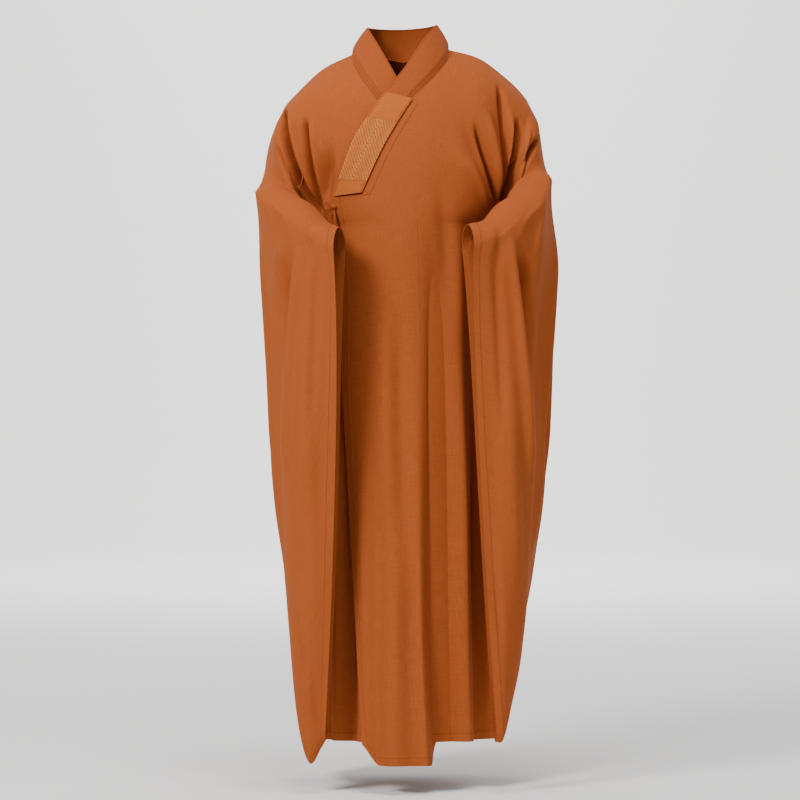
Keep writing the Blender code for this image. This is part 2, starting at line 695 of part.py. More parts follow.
# Collar: "run" counts stations from the outer lapel's end (-14), past the left shoulder (-4), the centre back
# (0) and the right shoulder (4), to the under lapel's end (14). The points are the band's free edge.
FREE_BAND = table(
    "run x y z",
    (-14, -0.1350, 0, -0.2800),
    (-13, -0.1150, 0, -0.2200),
    (-12, -0.0950, 0, -0.1680),
    (-11, -0.0770, 0, -0.1380),
    (-10, -0.0560, 0, -0.1070),
    (-9, -0.0270, 0, -0.0680),
    (-8, 0.0040, -0.0850, -0.0270),
    (-7, 0.0270, -0.0680, 0.0100),
    (-6, 0.0440, -0.0440, 0.0370),
    (-5, 0.0565, -0.0180, 0.0540),
    (-4, 0.0630, 0.0020, 0.0640),
    (-3, 0.0635, 0.0180, 0.0660),
    (-2, 0.0580, 0.0400, 0.0670),
    (-1, 0.0380, 0.0600, 0.0660),
    (0, 0.0000, 0.0700, 0.0640),
    (1, -0.0390, 0.0600, 0.0630),
    (2, -0.0600, 0.0400, 0.0620),
    (3, -0.0670, 0.0180, 0.0600),
    (4, -0.0680, 0.0020, 0.0570),
    (5, -0.0620, -0.0180, 0.0460),
    (6, -0.0500, -0.0400, 0.0240),
    (7, -0.0350, -0.0600, -0.0040),
    (8, -0.0190, -0.0760, -0.0340),
    (9, 0.0000, 0, -0.0670),
    (10, 0.0260, 0, -0.0980),
    (11, 0.0500, 0, -0.1300),
    (12, 0.0760, 0, -0.1620),
    (13, 0.1010, 0, -0.2080),
    (14, 0.1300, 0, -0.2800),
)
SHOULDER_RUN = 4  # the station on top of either shoulder
LAST_RUN = 13.98  # the band is cut just short of its last station
LIES_FLAT = 9  # from this station on, either way, the band lies on the chest
BAND_CROWN = 0.0030  # how far the standing band bows out between its seam and its free edge
BAND_SPANS = 8
BAND_SHARES = np.array([0.005, 0.10, 0.20, 0.40, 0.60, 0.80, 1.0])  # each layer leaves one more uncovered
LAYER_RISE = COLLAR_WALL + SEAM_GAP


def band_seam(run):
    """Where station run meets the body: the surface it lies on, its u and its w."""
    shares = arm_shares(ARMHOLE_ROWS)
    outer = run < 0
    surface = OUTER if outer else INNER
    size = abs(run)
    if size >= SHOULDER_RUN:
        q = shares[size - SHOULDER_RUN]
        w = 2.0 - q
        edge = OUTER_EDGE if outer else INNER_EDGE
        x = float(curve_of(edge, "q", "x", q))
    else:
        q = shares[SHOULDER_RUN - size]
        w = 2.0 + q
        x = neck_back_x(q, LEFT_NECK) if outer else -neck_back_x(q, RIGHT_NECK)
    return surface, u_at(x, w), w


def band_grid():
    """Points across the band, from its seam (first column) to its free edge, at each station."""
    grid = np.zeros((len(FREE_BAND["run"]), BAND_SPANS + 1, 3))
    for i, run in enumerate(FREE_BAND["run"].astype(int)):
        surface, u, w = band_seam(run)
        seam = surface(np.array([u]), np.array([w]))[0]
        free = np.array([FREE_BAND["x"][i], FREE_BAND["y"][i], FREE_BAND["z"][i]])
        flat = abs(run) >= LIES_FLAT
        if flat:
            start_y = front_y(surface, seam[0], seam[2])
        out = np.array([seam[0] + free[0], seam[1] + free[1], 0.0])
        out /= max(np.linalg.norm(out), 1e-6)
        for k in range(BAND_SPANS + 1):
            share = k / BAND_SPANS
            point = seam + (free - seam) * share
            if flat:
                point[1] = seam[1] + front_y(surface, point[0], point[2]) - start_y
            else:
                point += out * BAND_CROWN * 4 * share * (1 - share)
            grid[i, k] = point
    return grid


def band_normals(grid):
    normal = grid_normals(grid, False)
    return -normal if normal[0, :, 1].mean() > 0 else normal


BAND = band_grid()
BAND_NORMAL = band_normals(BAND)


def band_at(runs, shares, lift):
    """Points of the collar at the given stations and shares of its width, lifted off the base layer."""
    places = FREE_BAND["run"]
    widths = np.linspace(0.0, 1.0, BAND_SPANS + 1)
    points = np.zeros((len(runs), len(shares), 3))
    for axis in range(3):
        lifted = BAND[..., axis] + BAND_NORMAL[..., axis] * lift
        at_runs = np.array([curve(places, lifted[:, k], runs) for k in range(BAND_SPANS + 1)]).T
        for i in range(len(runs)):
            points[i, :, axis] = curve(widths, at_runs[i], shares)
    return points


def make_collar():
    runs = np.clip(FREE_BAND["run"], -LAST_RUN, LAST_RUN)
    for order, name in enumerate(("collar_base", "collar_middle", "collar_top")):
        shares = BAND_SHARES[order:]
        lift = order * LAYER_RISE
        outside = band_at(runs, shares, lift)
        inside = band_at(runs, shares, lift - COLLAR_WALL)
        wall(name, outside, inside, BAND_COLOUR)


# Patch on the outer lapel, by the same stations: a plain part, a quilted part and a plain end
PATCH_WALL = 0.0010
PATCH_TOP = -9.25
QUILT_TOP = -10.62
QUILT_FOOT = -13.45
PATCH_FOOT = -13.98
PATCH_SEAM = 0.008  # the gap between two parts, in stations
PATCH_WIDTH = (0.01, 0.99)  # its edges, as shares of the band's width
RIDGES = 20  # rows of quilting across the patch
RIDGE_HEIGHT = 0.0005


def make_patches():
    under = 2 * LAYER_RISE + SEAM_GAP
    plain_parts = (
        ("patch_upper", QUILT_TOP + PATCH_SEAM, PATCH_TOP, 4),
        ("patch_end", PATCH_FOOT, QUILT_FOOT - PATCH_SEAM, 3),
    )
    for name, low, high, rows in plain_parts:
        runs = np.linspace(low, high, rows)
        shares = np.linspace(*PATCH_WIDTH, 6)
        outside = band_at(runs, shares, under + PATCH_WALL)
        wall(name, outside, band_at(runs, shares, under), PATCH_COLOUR)
    runs = np.linspace(QUILT_FOOT, QUILT_TOP, 7)
    shares = np.linspace(*PATCH_WIDTH, RIDGES * 2 + 1)
    low = band_at(runs, shares, under + PATCH_WALL)
    high = band_at(runs, shares, under + PATCH_WALL + RIDGE_HEIGHT)
    raised = (np.arange(len(shares)) % 2)[None, :, None]
    wall("patch_quilted", low + (high - low) * raised, band_at(runs, shares, under), PATCH_COLOUR)


# Tie: a flat band knotted over the outer overlap's corner
KNOT_X = -0.1290
KNOT_Z = -0.2980
KNOT_SIZE = (0.0065, 0.0042, 0.0060)
TIE_HALF_WIDTH = 0.0034
TIE_WALL = 0.0014
TIE_CLEAR = 0.0007  # between the knot and the tapes that leave it
KNOT_RINGS = 7
KNOT_AROUND = 12


def strip(name, route, widths, ways):
    """A flat tape along a route. ways gives the direction across the tape at each point."""
    route = np.array(route, dtype=float)
    ways = np.array(ways, dtype=float)
    ways /= np.linalg.norm(ways, axis=1, keepdims=True)
    along = np.gradient(route, axis=0)
    flat = np.cross(ways, along)
    flat /= np.linalg.norm(flat, axis=1, keepdims=True)
    across = np.array([-1.0, 0.0, 1.0])
    grid = route[:, None, :] + ways[:, None, :] * across[None, :, None] * np.array(widths)[:, None, None]
    half = flat[:, None, :] * TIE_WALL / 2
    wall(name, grid + half, grid - half, BAND_COLOUR)


def make_tie():
    u, w = front_row_of(KNOT_X, KNOT_Z)
    ground = OUTER(np.array([u]), np.array([w]))[0]
    out = normals_of(OUTER, np.array([u]), np.array([w]))[0]
    if out[1] > 0:
        out = -out
    side = np.array([-out[1], out[0], 0.0])
    side /= np.linalg.norm(side)
    if side[0] < 0:
        side = -side
    up = np.cross(side, out)
    if up[2] < 0:
        up = -up
    centre = ground + out * (KNOT_SIZE[1] + SEAM_GAP)
    vertices = [centre + up * KNOT_SIZE[2]]
    for i in range(1, KNOT_RINGS):
        tilt = math.pi * i / KNOT_RINGS
        for j in range(KNOT_AROUND):
            turn = 2 * math.pi * j / KNOT_AROUND
            vertices.append(
                centre
                + side * KNOT_SIZE[0] * math.sin(tilt) * math.cos(turn)
                + out * KNOT_SIZE[1] * math.sin(tilt) * math.sin(turn)
                + up * KNOT_SIZE[2] * math.cos(tilt)
            )
    vertices.append(centre - up * KNOT_SIZE[2])
    last = len(vertices) - 1
    faces = []
    foot = 1 + (KNOT_RINGS - 2) * KNOT_AROUND
    for j in range(KNOT_AROUND):
        k = (j + 1) % KNOT_AROUND
        faces.append((0, 1 + j, 1 + k))
        faces.append((last, foot + k, foot + j))
        for i in range(KNOT_RINGS - 2):
            a = 1 + i * KNOT_AROUND
            b = a + KNOT_AROUND
            faces.append((a + j, b + j, b + k, a + k))
    add_object("tie_knot", np.array(vertices), faces, BAND_COLOUR)

    def spot(aside, forward, rise):
        return centre + side * aside + out * forward + up * rise

    full = TIE_HALF_WIDTH
    low = -KNOT_SIZE[2] - TIE_CLEAR
    front_route = [
        spot(0.0005, 0.0002, low + TIE_CLEAR - SEAM_GAP),
        spot(0.003, 0.004, low - 0.012),
        spot(0.004, 0.005, low - 0.026),
        spot(0.002, 0.004, low - 0.044),
    ]
    front_ways = [side, side + 0.3 * out, side + 0.2 * out, side]
    strip("tie_tail_front", front_route, [full * 0.7, full, full, full], front_ways)
    back_route = [
        spot(-0.004, -0.001, low + 0.001),
        spot(-0.009, 0.0, low - 0.012),
        spot(-0.011, 0.0, low - 0.024),
        spot(-0.010, 0.0, low - 0.036),
    ]
    back_ways = [side, side - 0.3 * out, side - 0.2 * out, side]
    strip("tie_tail_back", back_route, [full * 0.6, full, full, full], back_ways)
    beside = -KNOT_SIZE[0] - TIE_CLEAR
    loop_route = [
        spot(beside, 0.0, 0.001),
        spot(beside - 0.006, 0.002, 0.006),
        spot(beside - 0.010, 0.004, 0.002),
        spot(beside - 0.007, 0.006, -0.004),
        spot(beside - 0.001, 0.005, -0.003),
    ]
    loop_ways = [up + 0.3 * out, up, up, up, up + 0.3 * out]
    strip("tie_loop", loop_route, [full * 0.6, full * 0.9, full, full * 0.9, full * 0.5], loop_ways)


for old in list(bpy.data.objects):
    bpy.data.objects.remove(old, do_unlink=True)

right_rim = make_sleeve("sleeve_right", -1)
left_rim = make_sleeve("sleeve_left", 1)
make_bodies(left_rim, right_rim)
make_overlaps()
make_collar()
make_patches()
make_tie()
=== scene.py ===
import math

import bpy
import numpy as np
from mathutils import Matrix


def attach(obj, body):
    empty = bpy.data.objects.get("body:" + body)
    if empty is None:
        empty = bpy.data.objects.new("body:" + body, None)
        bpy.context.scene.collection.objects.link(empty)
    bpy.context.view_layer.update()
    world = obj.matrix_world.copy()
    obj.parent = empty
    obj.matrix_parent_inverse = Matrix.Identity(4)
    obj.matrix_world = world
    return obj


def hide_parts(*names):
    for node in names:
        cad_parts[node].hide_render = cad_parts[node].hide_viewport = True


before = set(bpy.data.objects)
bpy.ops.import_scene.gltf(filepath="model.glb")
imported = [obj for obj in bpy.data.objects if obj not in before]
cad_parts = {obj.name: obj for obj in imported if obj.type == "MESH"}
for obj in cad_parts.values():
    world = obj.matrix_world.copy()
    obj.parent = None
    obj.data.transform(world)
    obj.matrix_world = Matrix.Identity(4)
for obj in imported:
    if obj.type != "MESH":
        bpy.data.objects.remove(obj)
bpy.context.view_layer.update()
print("frame loaded:", len(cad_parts), "nodes")

# A wide-sleeved, cross-collared robe in its worn form. Metres, +Z up, the front faces -Y, +X is the robe's left.

cut = dict(
    wall=0.0016,  # body and sleeve cloth
    collarWall=0.0011,
    seamGap=0.0003,
    layerGap=0.0066,  # the outer front lies this far before the inner one
    underarmDrop=0.330,
    hemDrop=1.330,
    frontDip=0.042,  # the outer overlap's hem hangs this much lower
    leftLift=0.012,
    leftReach=0.012,
    hemTurn=0.018,  # width of the turned hem
    hemRaise=0.0007,
)


# Named columns from rows of numbers
def table(names, *rows):
    columns = np.array(rows, dtype=float).T
    return dict(zip(names.split(), columns))


# A smooth curve through values given at keys, held at both ends
def curve(keys, values, at):
    slopes = np.gradient(values, keys)
    at = np.clip(at, keys[0], keys[-1])
    i = np.clip(np.searchsorted(keys, at, side="right") - 1, 0, len(keys) - 2)
    step = keys[i + 1] - keys[i]
    t = (at - keys[i]) / step
    rise = values[i + 1] - values[i]
    bendA = slopes[i] * step - rise
    bendB = rise - slopes[i + 1] * step
    return values[i] + rise * t + t * (1 - t) * (bendA * (1 - t) + bendB * t)


def curveOf(columns, key, name, at):
    return curve(columns[key], columns[name], at)


# Eases from 0 at low to 1 at high
def ramp(low, high, at):
    t = np.clip((at - low) / (high - low), 0.0, 1.0)
    return t * t * (3.0 - 2.0 * t)


sections = table(
    "down halfWidth sideY frontY backY",
    (0.00, 0.172, 0.010, -0.126, 0.114),
    (0.15, 0.171, 0.010, -0.128, 0.118),
    (0.40, 0.173, 0.006, -0.137, 0.130),
    (0.70, 0.182, 0.002, -0.152, 0.148),
    (1.00, 0.192, 0.000, -0.168, 0.168),
)
centreFront = table(
    "q y z",
    (0.00, 0.000, 0.022),
    (0.10, -0.048, -0.012),
    (0.20, -0.080, -0.050),
    (0.30, -0.097, -0.083),
    (0.45, -0.112, -0.142),
    (0.60, -0.120, -0.200),
    (0.80, -0.124, -0.280),
    (1.00, -0.126, -0.330),
)
centreBack = table(
    "q y z",
    (0.00, 0.000, 0.022),
    (0.10, 0.044, 0.018),
    (0.20, 0.074, 0.000),
    (0.30, 0.092, -0.030),
    (0.45, 0.106, -0.090),
    (0.60, 0.113, -0.160),
    (0.80, 0.114, -0.250),
    (1.00, 0.114, -0.330),
)
armholeFront = table(
    "q x y z",
    (0.00, 0.233, 0.014, -0.094),
    (0.18, 0.236, -0.028, -0.114),
    (0.40, 0.224, -0.053, -0.170),
    (0.62, 0.206, -0.057, -0.234),
    (0.80, 0.190, -0.042, -0.286),
    (0.90, 0.180, -0.021, -0.311),
    (1.00, 0.172, 0.010, -0.330),
)
armholeBack = table(
    "q x y z",
    (0.00, 0.233, 0.014, -0.094),
    (0.18, 0.236, 0.056, -0.116),
    (0.40, 0.226, 0.082, -0.176),
    (0.62, 0.208, 0.082, -0.240),
    (0.80, 0.191, 0.061, -0.289),
    (0.90, 0.181, 0.038, -0.311),
    (1.00, 0.172, 0.010, -0.330),
)
outerEdge = table(
    "q x",
    (0.00, 0.0900),
    (0.10, 0.0840),
    (0.20, 0.0590),
    (0.30, 0.0270),
    (0.45, -0.0120),
    (0.60, -0.0440),
    (0.80, -0.0800),
)
innerEdge = table(
    "q x",
    (0.00, -0.1010),
    (0.10, -0.0950),
    (0.20, -0.0780),
    (0.30, -0.0560),
    (0.45, -0.0180),
    (0.60, 0.0240),
    (0.80, 0.0760),
)
neckBack = table(
    "q x",
    (0.000, 0.090),
    (0.035, 0.089),
    (0.090, 0.079),
    (0.155, 0.050),
    (0.200, 0.000),
    (1.000, 0.000),
)
leftNeck = 0.0900
rightNeck = 0.1010
lapelEnd = 0.7818
lapelEndStep = 0.018
lapelEndHalf = 0.134
centreSeam = table("down x", (0.0, 0.027), (0.35, 0.036), (0.8, 0.040), (1.0, 0.048))
freeEdge = table(
    "down x",
    (0.00, -0.122),
    (0.12, -0.116),
    (0.33, -0.114),
    (0.46, -0.104),
    (0.70, -0.086),
    (0.90, -0.073),
    (1.00, -0.067),
)
innerSeamX = -0.056
innerFreeX = 0.118
broadFold = dict(  # the outer overlap's forward fold
    depth=0.050,
    start=0.46,
    lead=0.25,  # it begins to grow this much higher
    full=1.15,
    atFreeEdge=0.45,  # share of its depth left at the free edge
    easesOver=0.05,
    turnBefore=0.012,  # how sharply it turns back at the centre-front seam
    turnAfter=0.013,
    restFrom=0.72,  # towards the side seam the outer layer comes to rest
)

# Folds run along a bent line in the front view, from top by way of mid to foot. Above zero is a ridge.
foldNames = "topX topZ midX midZ footX footZ width height fade"
frontFolds = table(
    foldNames,
    (0.180, -0.045, 0.184, -0.120, 0.178, -0.240, 0.018, -0.007, 0.09),
    (0.112, -0.110, 0.134, -0.180, 0.160, -0.255, 0.016, -0.008, 0.08),
    (0.090, -0.150, 0.118, -0.215, 0.142, -0.300, 0.022, 0.006, 0.08),
    (0.066, -0.220, 0.078, -0.330, 0.082, -0.520, 0.014, -0.005, 0.12),
    (0.096, -0.300, 0.102, -0.420, 0.104, -0.600, 0.016, 0.006, 0.12),
    (0.126, -0.290, 0.126, -0.400, 0.124, -0.560, 0.012, -0.006, 0.12),
    (-0.142, -0.150, -0.150, -0.230, -0.156, -0.310, 0.014, -0.007, 0.08),
)
outerFolds = table(
    foldNames,
    (0.100, -0.340, 0.106, -0.880, 0.111, -1.340, 0.015, 0.026, 0.60),
    (0.054, -0.300, 0.068, -0.780, 0.075, -1.340, 0.017, -0.024, 0.50),
    (0.160, -0.560, 0.164, -0.940, 0.169, -1.340, 0.018, 0.014, 0.40),
    (0.134, -0.640, 0.137, -0.980, 0.141, -1.340, 0.011, -0.012, 0.36),
    (-0.034, -0.420, -0.031, -0.600, -0.024, -0.980, 0.017, 0.008, 0.20),
    (-0.008, -0.440, -0.004, -0.640, 0.004, -1.000, 0.014, -0.006, 0.20),
    (-0.082, -0.640, -0.070, -0.950, -0.058, -1.380, 0.018, 0.009, 0.34),
    (-0.052, -0.700, -0.046, -0.950, -0.040, -1.380, 0.014, -0.008, 0.30),
    (0.010, -0.760, 0.014, -0.980, 0.020, -1.380, 0.017, -0.008, 0.30),
    (-0.020, -0.860, -0.014, -1.080, -0.012, -1.380, 0.015, 0.008, 0.26),
)
underFolds = table(
    foldNames,
    (-0.128, -0.660, -0.126, -0.950, -0.124, -1.340, 0.010, 0.014, 0.30),
    (-0.106, -0.700, -0.103, -0.950, -0.098, -1.340, 0.009, -0.012, 0.30),
    (-0.160, -0.560, -0.160, -0.900, -0.162, -1.340, 0.018, 0.015, 0.30),
    (-0.084, -0.800, -0.082, -1.050, -0.078, -1.340, 0.010, 0.008, 0.26),
    (-0.145, -0.800, -0.144, -1.050, -0.142, -1.340, 0.007, -0.006, 0.20),
)
backFolds = table(
    foldNames,
    (0.104, -0.180, 0.116, -0.700, 0.128, -1.340, 0.020, 0.024, 0.34),
    (0.084, -0.300, 0.092, -0.750, 0.099, -1.340, 0.012, -0.017, 0.30),
    (0.062, -0.420, 0.068, -0.800, 0.073, -1.340, 0.012, 0.011, 0.35),
    (0.044, -0.480, 0.047, -0.850, 0.050, -1.340, 0.014, -0.014, 0.32),
    (0.024, -0.520, 0.022, -0.900, 0.018, -1.340, 0.016, 0.018, 0.30),
    (-0.006, -0.700, -0.004, -0.980, -0.002, -1.340, 0.012, -0.009, 0.24),
    (-0.104, -0.200, -0.112, -0.700, -0.124, -1.340, 0.022, 0.022, 0.34),
    (-0.080, -0.420, -0.087, -0.850, -0.096, -1.340, 0.012, -0.016, 0.28),
    (-0.056, -0.480, -0.060, -0.850, -0.066, -1.340, 0.013, 0.009, 0.30),
    (-0.040, -0.520, -0.043, -0.850, -0.046, -1.340, 0.011, -0.012, 0.30),
    (-0.024, -0.360, -0.024, -0.850, -0.020, -1.340, 0.014, 0.014, 0.35),
    (0.160, -0.200, 0.156, -0.400, 0.150, -0.640, 0.016, 0.013, 0.14),
    (-0.162, -0.200, -0.158, -0.400, -0.152, -0.660, 0.016, 0.014, 0.14),
    (0.146, -0.150, 0.130, -0.240, 0.104, -0.360, 0.011, -0.011, 0.08),
    (-0.148, -0.140, -0.128, -0.230, -0.098, -0.340, 0.011, -0.011, 0.08),
    (0.176, -0.200, 0.166, -0.290, 0.146, -0.400, 0.010, -0.010, 0.08),
    (-0.178, -0.190, -0.166, -0.280, -0.144, -0.390, 0.010, -0.010, 0.08),
    (0.166, -0.640, 0.172, -0.950, 0.178, -1.340, 0.015, 0.016, 0.28),
    (0.146, -0.760, 0.151, -1.000, 0.156, -1.340, 0.010, -0.009, 0.24),
    (-0.166, -0.600, -0.172, -0.950, -0.179, -1.340, 0.015, 0.016, 0.28),
    (-0.146, -0.720, -0.151, -0.980, -0.157, -1.340, 0.010, -0.010, 0.24),
)


# How far the folds raise the cloth at a place of the front view
def foldHeight(folds, x, z):
    total = np.zeros_like(x)
    for i in range(len(folds["height"])):
        topZ, midZ, footZ = folds["topZ"][i], folds["midZ"][i], folds["footZ"][i]
        topX, midX, footX = folds["topX"][i], folds["midX"][i], folds["footX"][i]
        at = np.clip(z, footZ - 0.1, topZ + 0.1)
        lineX = (
            topX * (at - midZ) * (at - footZ) / ((topZ - midZ) * (topZ - footZ))
            + midX * (at - topZ) * (at - footZ) / ((midZ - topZ) * (midZ - footZ))
            + footX * (at - topZ) * (at - midZ) / ((footZ - topZ) * (footZ - midZ))
        )
        across = (x - lineX) / folds["width"][i]
        fade = folds["fade"][i]
        start = ramp(topZ, topZ - fade, z)
        finish = 1.0 if footZ < -cut["hemDrop"] else 1.0 - ramp(footZ + fade, footZ, z)
        total = total + folds["height"][i] * np.exp(-across * across) * start * finish
    return total


# Creases that gather at the armpits and run across the armhole seams. They push the cloth out or in, slantwise.
armCreases = {
    "right": table(
        foldNames,
        (-0.234, -0.095, -0.212, -0.210, -0.152, -0.330, 0.0052, -0.028, 0.025),
        (-0.220, -0.090, -0.199, -0.205, -0.148, -0.315, 0.0085, 0.012, 0.05),
        (-0.194, -0.120, -0.181, -0.210, -0.158, -0.316, 0.0048, -0.026, 0.035),
        (-0.180, -0.110, -0.169, -0.205, -0.150, -0.305, 0.0080, 0.011, 0.06),
        (-0.141, -0.180, -0.148, -0.240, -0.154, -0.305, 0.0090, -0.011, 0.05),
        (-0.246, -0.170, -0.228, -0.225, -0.190, -0.290, 0.0060, -0.012, 0.03),
        (-0.236, -0.150, -0.222, -0.215, -0.184, -0.290, 0.0080, 0.010, 0.04),
    ),
    "left": table(
        foldNames,
        (0.184, -0.050, 0.197, -0.140, 0.191, -0.306, 0.0052, -0.025, 0.05),
        (0.136, -0.130, 0.158, -0.200, 0.184, -0.302, 0.0050, -0.024, 0.05),
        (0.158, -0.105, 0.178, -0.180, 0.188, -0.296, 0.0095, 0.012, 0.06),
        (0.224, -0.120, 0.214, -0.205, 0.197, -0.310, 0.0055, -0.030, 0.04),
        (0.208, -0.100, 0.206, -0.190, 0.194, -0.300, 0.0075, 0.013, 0.05),
        (0.272, -0.150, 0.244, -0.200, 0.206, -0.300, 0.0055, -0.026, 0.03),
        (0.248, -0.130, 0.230, -0.200, 0.202, -0.298, 0.0075, 0.013, 0.04),
        (0.118, -0.190, 0.140, -0.240, 0.170, -0.310, 0.0080, 0.007, 0.05),
    ),
}
creaseWay = dict(aside=0.55, forward=0.83)


# How far forward the creases push a point of the front, q of the way from the shoulder to the underarm
def creasePush(side, x, z, q):
    held = ramp(0.03, 0.12, q) * (1.0 - ramp(0.84, 0.97, q))
    return foldHeight(armCreases[side], x, z) * held


drift = dict(waves=7, across=(25.0, 75.0), along=(-9.0, 9.0), ripple=0.6, height=0.00045)


# Slow, uneven swell of hanging cloth, about a millimetre
def softDrift(x, z, seed):
    total = np.zeros_like(x)
    draw = np.random.default_rng(seed)
    for _ in range(drift["waves"]):
        across = draw.uniform(*drift["across"])
        along = draw.uniform(*drift["along"])
        phase = draw.uniform(0.0, 6.28)
        sway = draw.uniform(0.5, 2.5)
        total = total + np.sin(x * across + z * along + phase + drift["ripple"] * np.sin(z * sway * 4.0 + phase))
    return total * drift["height"]


# u runs from -1 at the right side to 1 at the left. w runs 0 hem, 1 underarm, 2 shoulder, 3 back underarm, 4 back hem.
def torso(u, w):
    size = np.abs(u)
    left = u > 0
    front = w <= 2.0
    v = np.where(front, w, 4.0 - w)
    q = np.clip(2.0 - v, 0.0, 1.0)
    down = np.clip(1.0 - v, 0.0, 1.0)

    def either(frontTable, backTable, axis):
        return np.where(front, curveOf(frontTable, "q", axis, q), curveOf(backTable, "q", axis, q))

    holeX = either(armholeFront, armholeBack, "x") + np.where(left, cut["leftReach"], 0.0) * (1.0 - q)
    holeY = either(armholeFront, armholeBack, "y")
    holeZ = either(armholeFront, armholeBack, "z") + np.where(left, cut["leftLift"], 0.0) * (1.0 - q) ** 2
    midZ = either(centreFront, centreBack, "z")
    skirt = v < 1.0
    outX = np.where(skirt, curveOf(sections, "down", "halfWidth", down), holeX)
    outY = np.where(skirt, curveOf(sections, "down", "sideY", down), holeY)
    skirtY = np.where(front, curveOf(sections, "down", "frontY", down), curveOf(sections, "down", "backY", down))
    midY = np.where(skirt, skirtY, either(centreFront, centreBack, "y"))
    roundShare = 1.0 - ramp(1.0, 1.35, v)
    x = outX * ((1.0 - roundShare) * size + roundShare * np.sin(size * math.pi / 2))
    bow = (1.0 - roundShare) * (1.0 - size**2) + roundShare * np.cos(size * math.pi / 2)
    y = outY + (midY - outY) * bow
    slope = np.where(left, 3.0, 2.5)
    zAbove = midZ + (holeZ - midZ) * size**slope
    zBelow = -cut["underarmDrop"] - down * (cut["hemDrop"] - cut["underarmDrop"])
    return np.stack([np.sign(u) * x, y, np.where(skirt, zBelow, zAbove)], axis=-1)


# The u at which the plain form's row w reaches x
def uAt(x, w):
    grid = np.linspace(0.0, 1.0, 65)
    side = 1.0 if x >= 0 else -1.0
    row = torso(grid * side, np.full_like(grid, w))
    return side * float(np.interp(abs(x), np.abs(row[:, 0]), grid))


normalReach = 0.012
insideU = 0.987  # normals are read this far in from the side seams


def normalsOf(surface, u, w):
    across = surface(u + normalReach, w) - surface(u - normalReach, w)
    along = surface(u, w + normalReach) - surface(u, w - normalReach)
    normal = np.cross(across, along)
    return normal / np.linalg.norm(normal, axis=-1, keepdims=True)


# What the outer front adds: its distance from the inner layer, the forward fold and its folds, and the hem's dip
def outerFront(u, w, x, z, edge):
    down = np.clip(1.0 - w, 0.0, 1.0)
    held = (1.0 - ramp(1.80, 2.0, w)) * np.where(u > 0, 1.0 - ramp(broadFold["restFrom"], 1.0, u), 1.0)
    seamX = curveOf(centreSeam, "down", "x", down)
    freeX = curveOf(freeEdge, "down", "x", down)
    plateau = 1.0 - ramp(seamX - broadFold["turnBefore"], seamX + broadFold["turnAfter"], x)
    broad = broadFold["depth"] * ramp(broadFold["start"] - broadFold["lead"], broadFold["full"], down) * plateau
    rest = broadFold["atFreeEdge"]
    broad = broad * (rest + (1.0 - rest) * ramp(freeX, freeX + broadFold["easesOver"], x))
    dipShare = ramp(freeX - 0.005, freeX + 0.030, x) * (1.0 - ramp(seamX - 0.002, seamX + 0.022, x))
    height = cut["layerGap"] * held + broad + foldHeight(outerFolds, x, z) * edge
    return height, cut["frontDip"] * down * down * dipShare


# The cloth's surface as a function of u and w: the plain form with its folds and creases
def clothForm(layer):
    outer = layer == "outer"

    def surface(u, w):
        u = np.clip(u, -1.0, 1.0)
        w = np.clip(w, 0.0, 4.0)
        point = torso(u, w)
        normal = normalsOf(torso, np.clip(u, -insideU, insideU), np.clip(w, normalReach, 4.0 - normalReach))
        x, z = point[..., 0], point[..., 2]
        front = w < 2.0
        edge = 1.0 - ramp(0.90, 1.0, np.abs(u))
        height = np.where(front, foldHeight(frontFolds, x, z), foldHeight(backFolds, x, z)) * edge
        height = height + softDrift(x, z, 11 if outer else 12) * edge * ramp(0.0, 0.10, 0.10 - z)
        if outer:
            more, dip = outerFront(u, np.where(front, w, 0.0), x, z, edge)
        else:
            more, dip = foldHeight(underFolds, x, z) * edge, np.zeros_like(x)
        height = height + np.where(front, more, 0.0)
        q = np.clip(2.0 - w, 0.0, 1.0)
        push = np.where(front & (w > 1.0), creasePush("left" if outer else "right", x, z, q), 0.0)
        point = point + normal * height[..., None]
        point[..., 0] += np.sign(u) * push * creaseWay["aside"]
        point[..., 1] -= push * creaseWay["forward"]
        point[..., 2] -= np.where(front, dip, 0.0)
        return point

    return surface


innerCloth = clothForm("inner")
outerCloth = clothForm("outer")


# The u and w of the front at a place of the front view
def frontRowOf(x, z):
    low, high = 0.0, 2.0
    for _ in range(20):
        w = (low + high) / 2
        point = torso(np.array([uAt(x, w)]), np.array([w]))[0]
        if point[2] < z:
            low = w
        else:
            high = w
    return uAt(x, w), w


def frontY(surface, x, z):
    u, w = frontRowOf(x, z)
    return float(surface(np.array([u]), np.array([w]))[0][1])


def linear(hexColour):
    def channel(value):
        value /= 255.0
        return value / 12.92 if value <= 0.04045 else ((value + 0.055) / 1.055) ** 2.4

    digits = hexColour.lstrip("#")
    return tuple(channel(int(digits[k:k + 2], 16)) for k in (0, 2, 4)) + (1.0,)


# Adds a shader node of a kind, sets its properties and inputs, and links outputs into its inputs
def addNode(tree, kind, settings=None, inputs=None, links=None):
    node = tree.nodes.new("ShaderNode" + kind)
    for name, value in (settings or {}).items():
        setattr(node, name, value)
    for name, value in (inputs or {}).items():
        node.inputs[name].default_value = value
    for name, output in (links or {}).items():
        tree.links.new(output, node.inputs[name])
    return node


# Metres. Real threads are near 0.3 mm apart, drawn coarser so that they show.
threadPitch = dict(warp=0.0019, weft=0.0017, slub=0.026)
add, subtract, multiply, divide = [{"operation": kind} for kind in ("ADD", "SUBTRACT", "MULTIPLY", "DIVIDE")]
lessThan, absolute, fraction, wholePart = [{"operation": k} for k in ("LESS_THAN", "ABSOLUTE", "FRACT", "FLOOR")]
flatNoise = {"noise_dimensions": "2D"}
ofColours = {"data_type": "RGBA"}


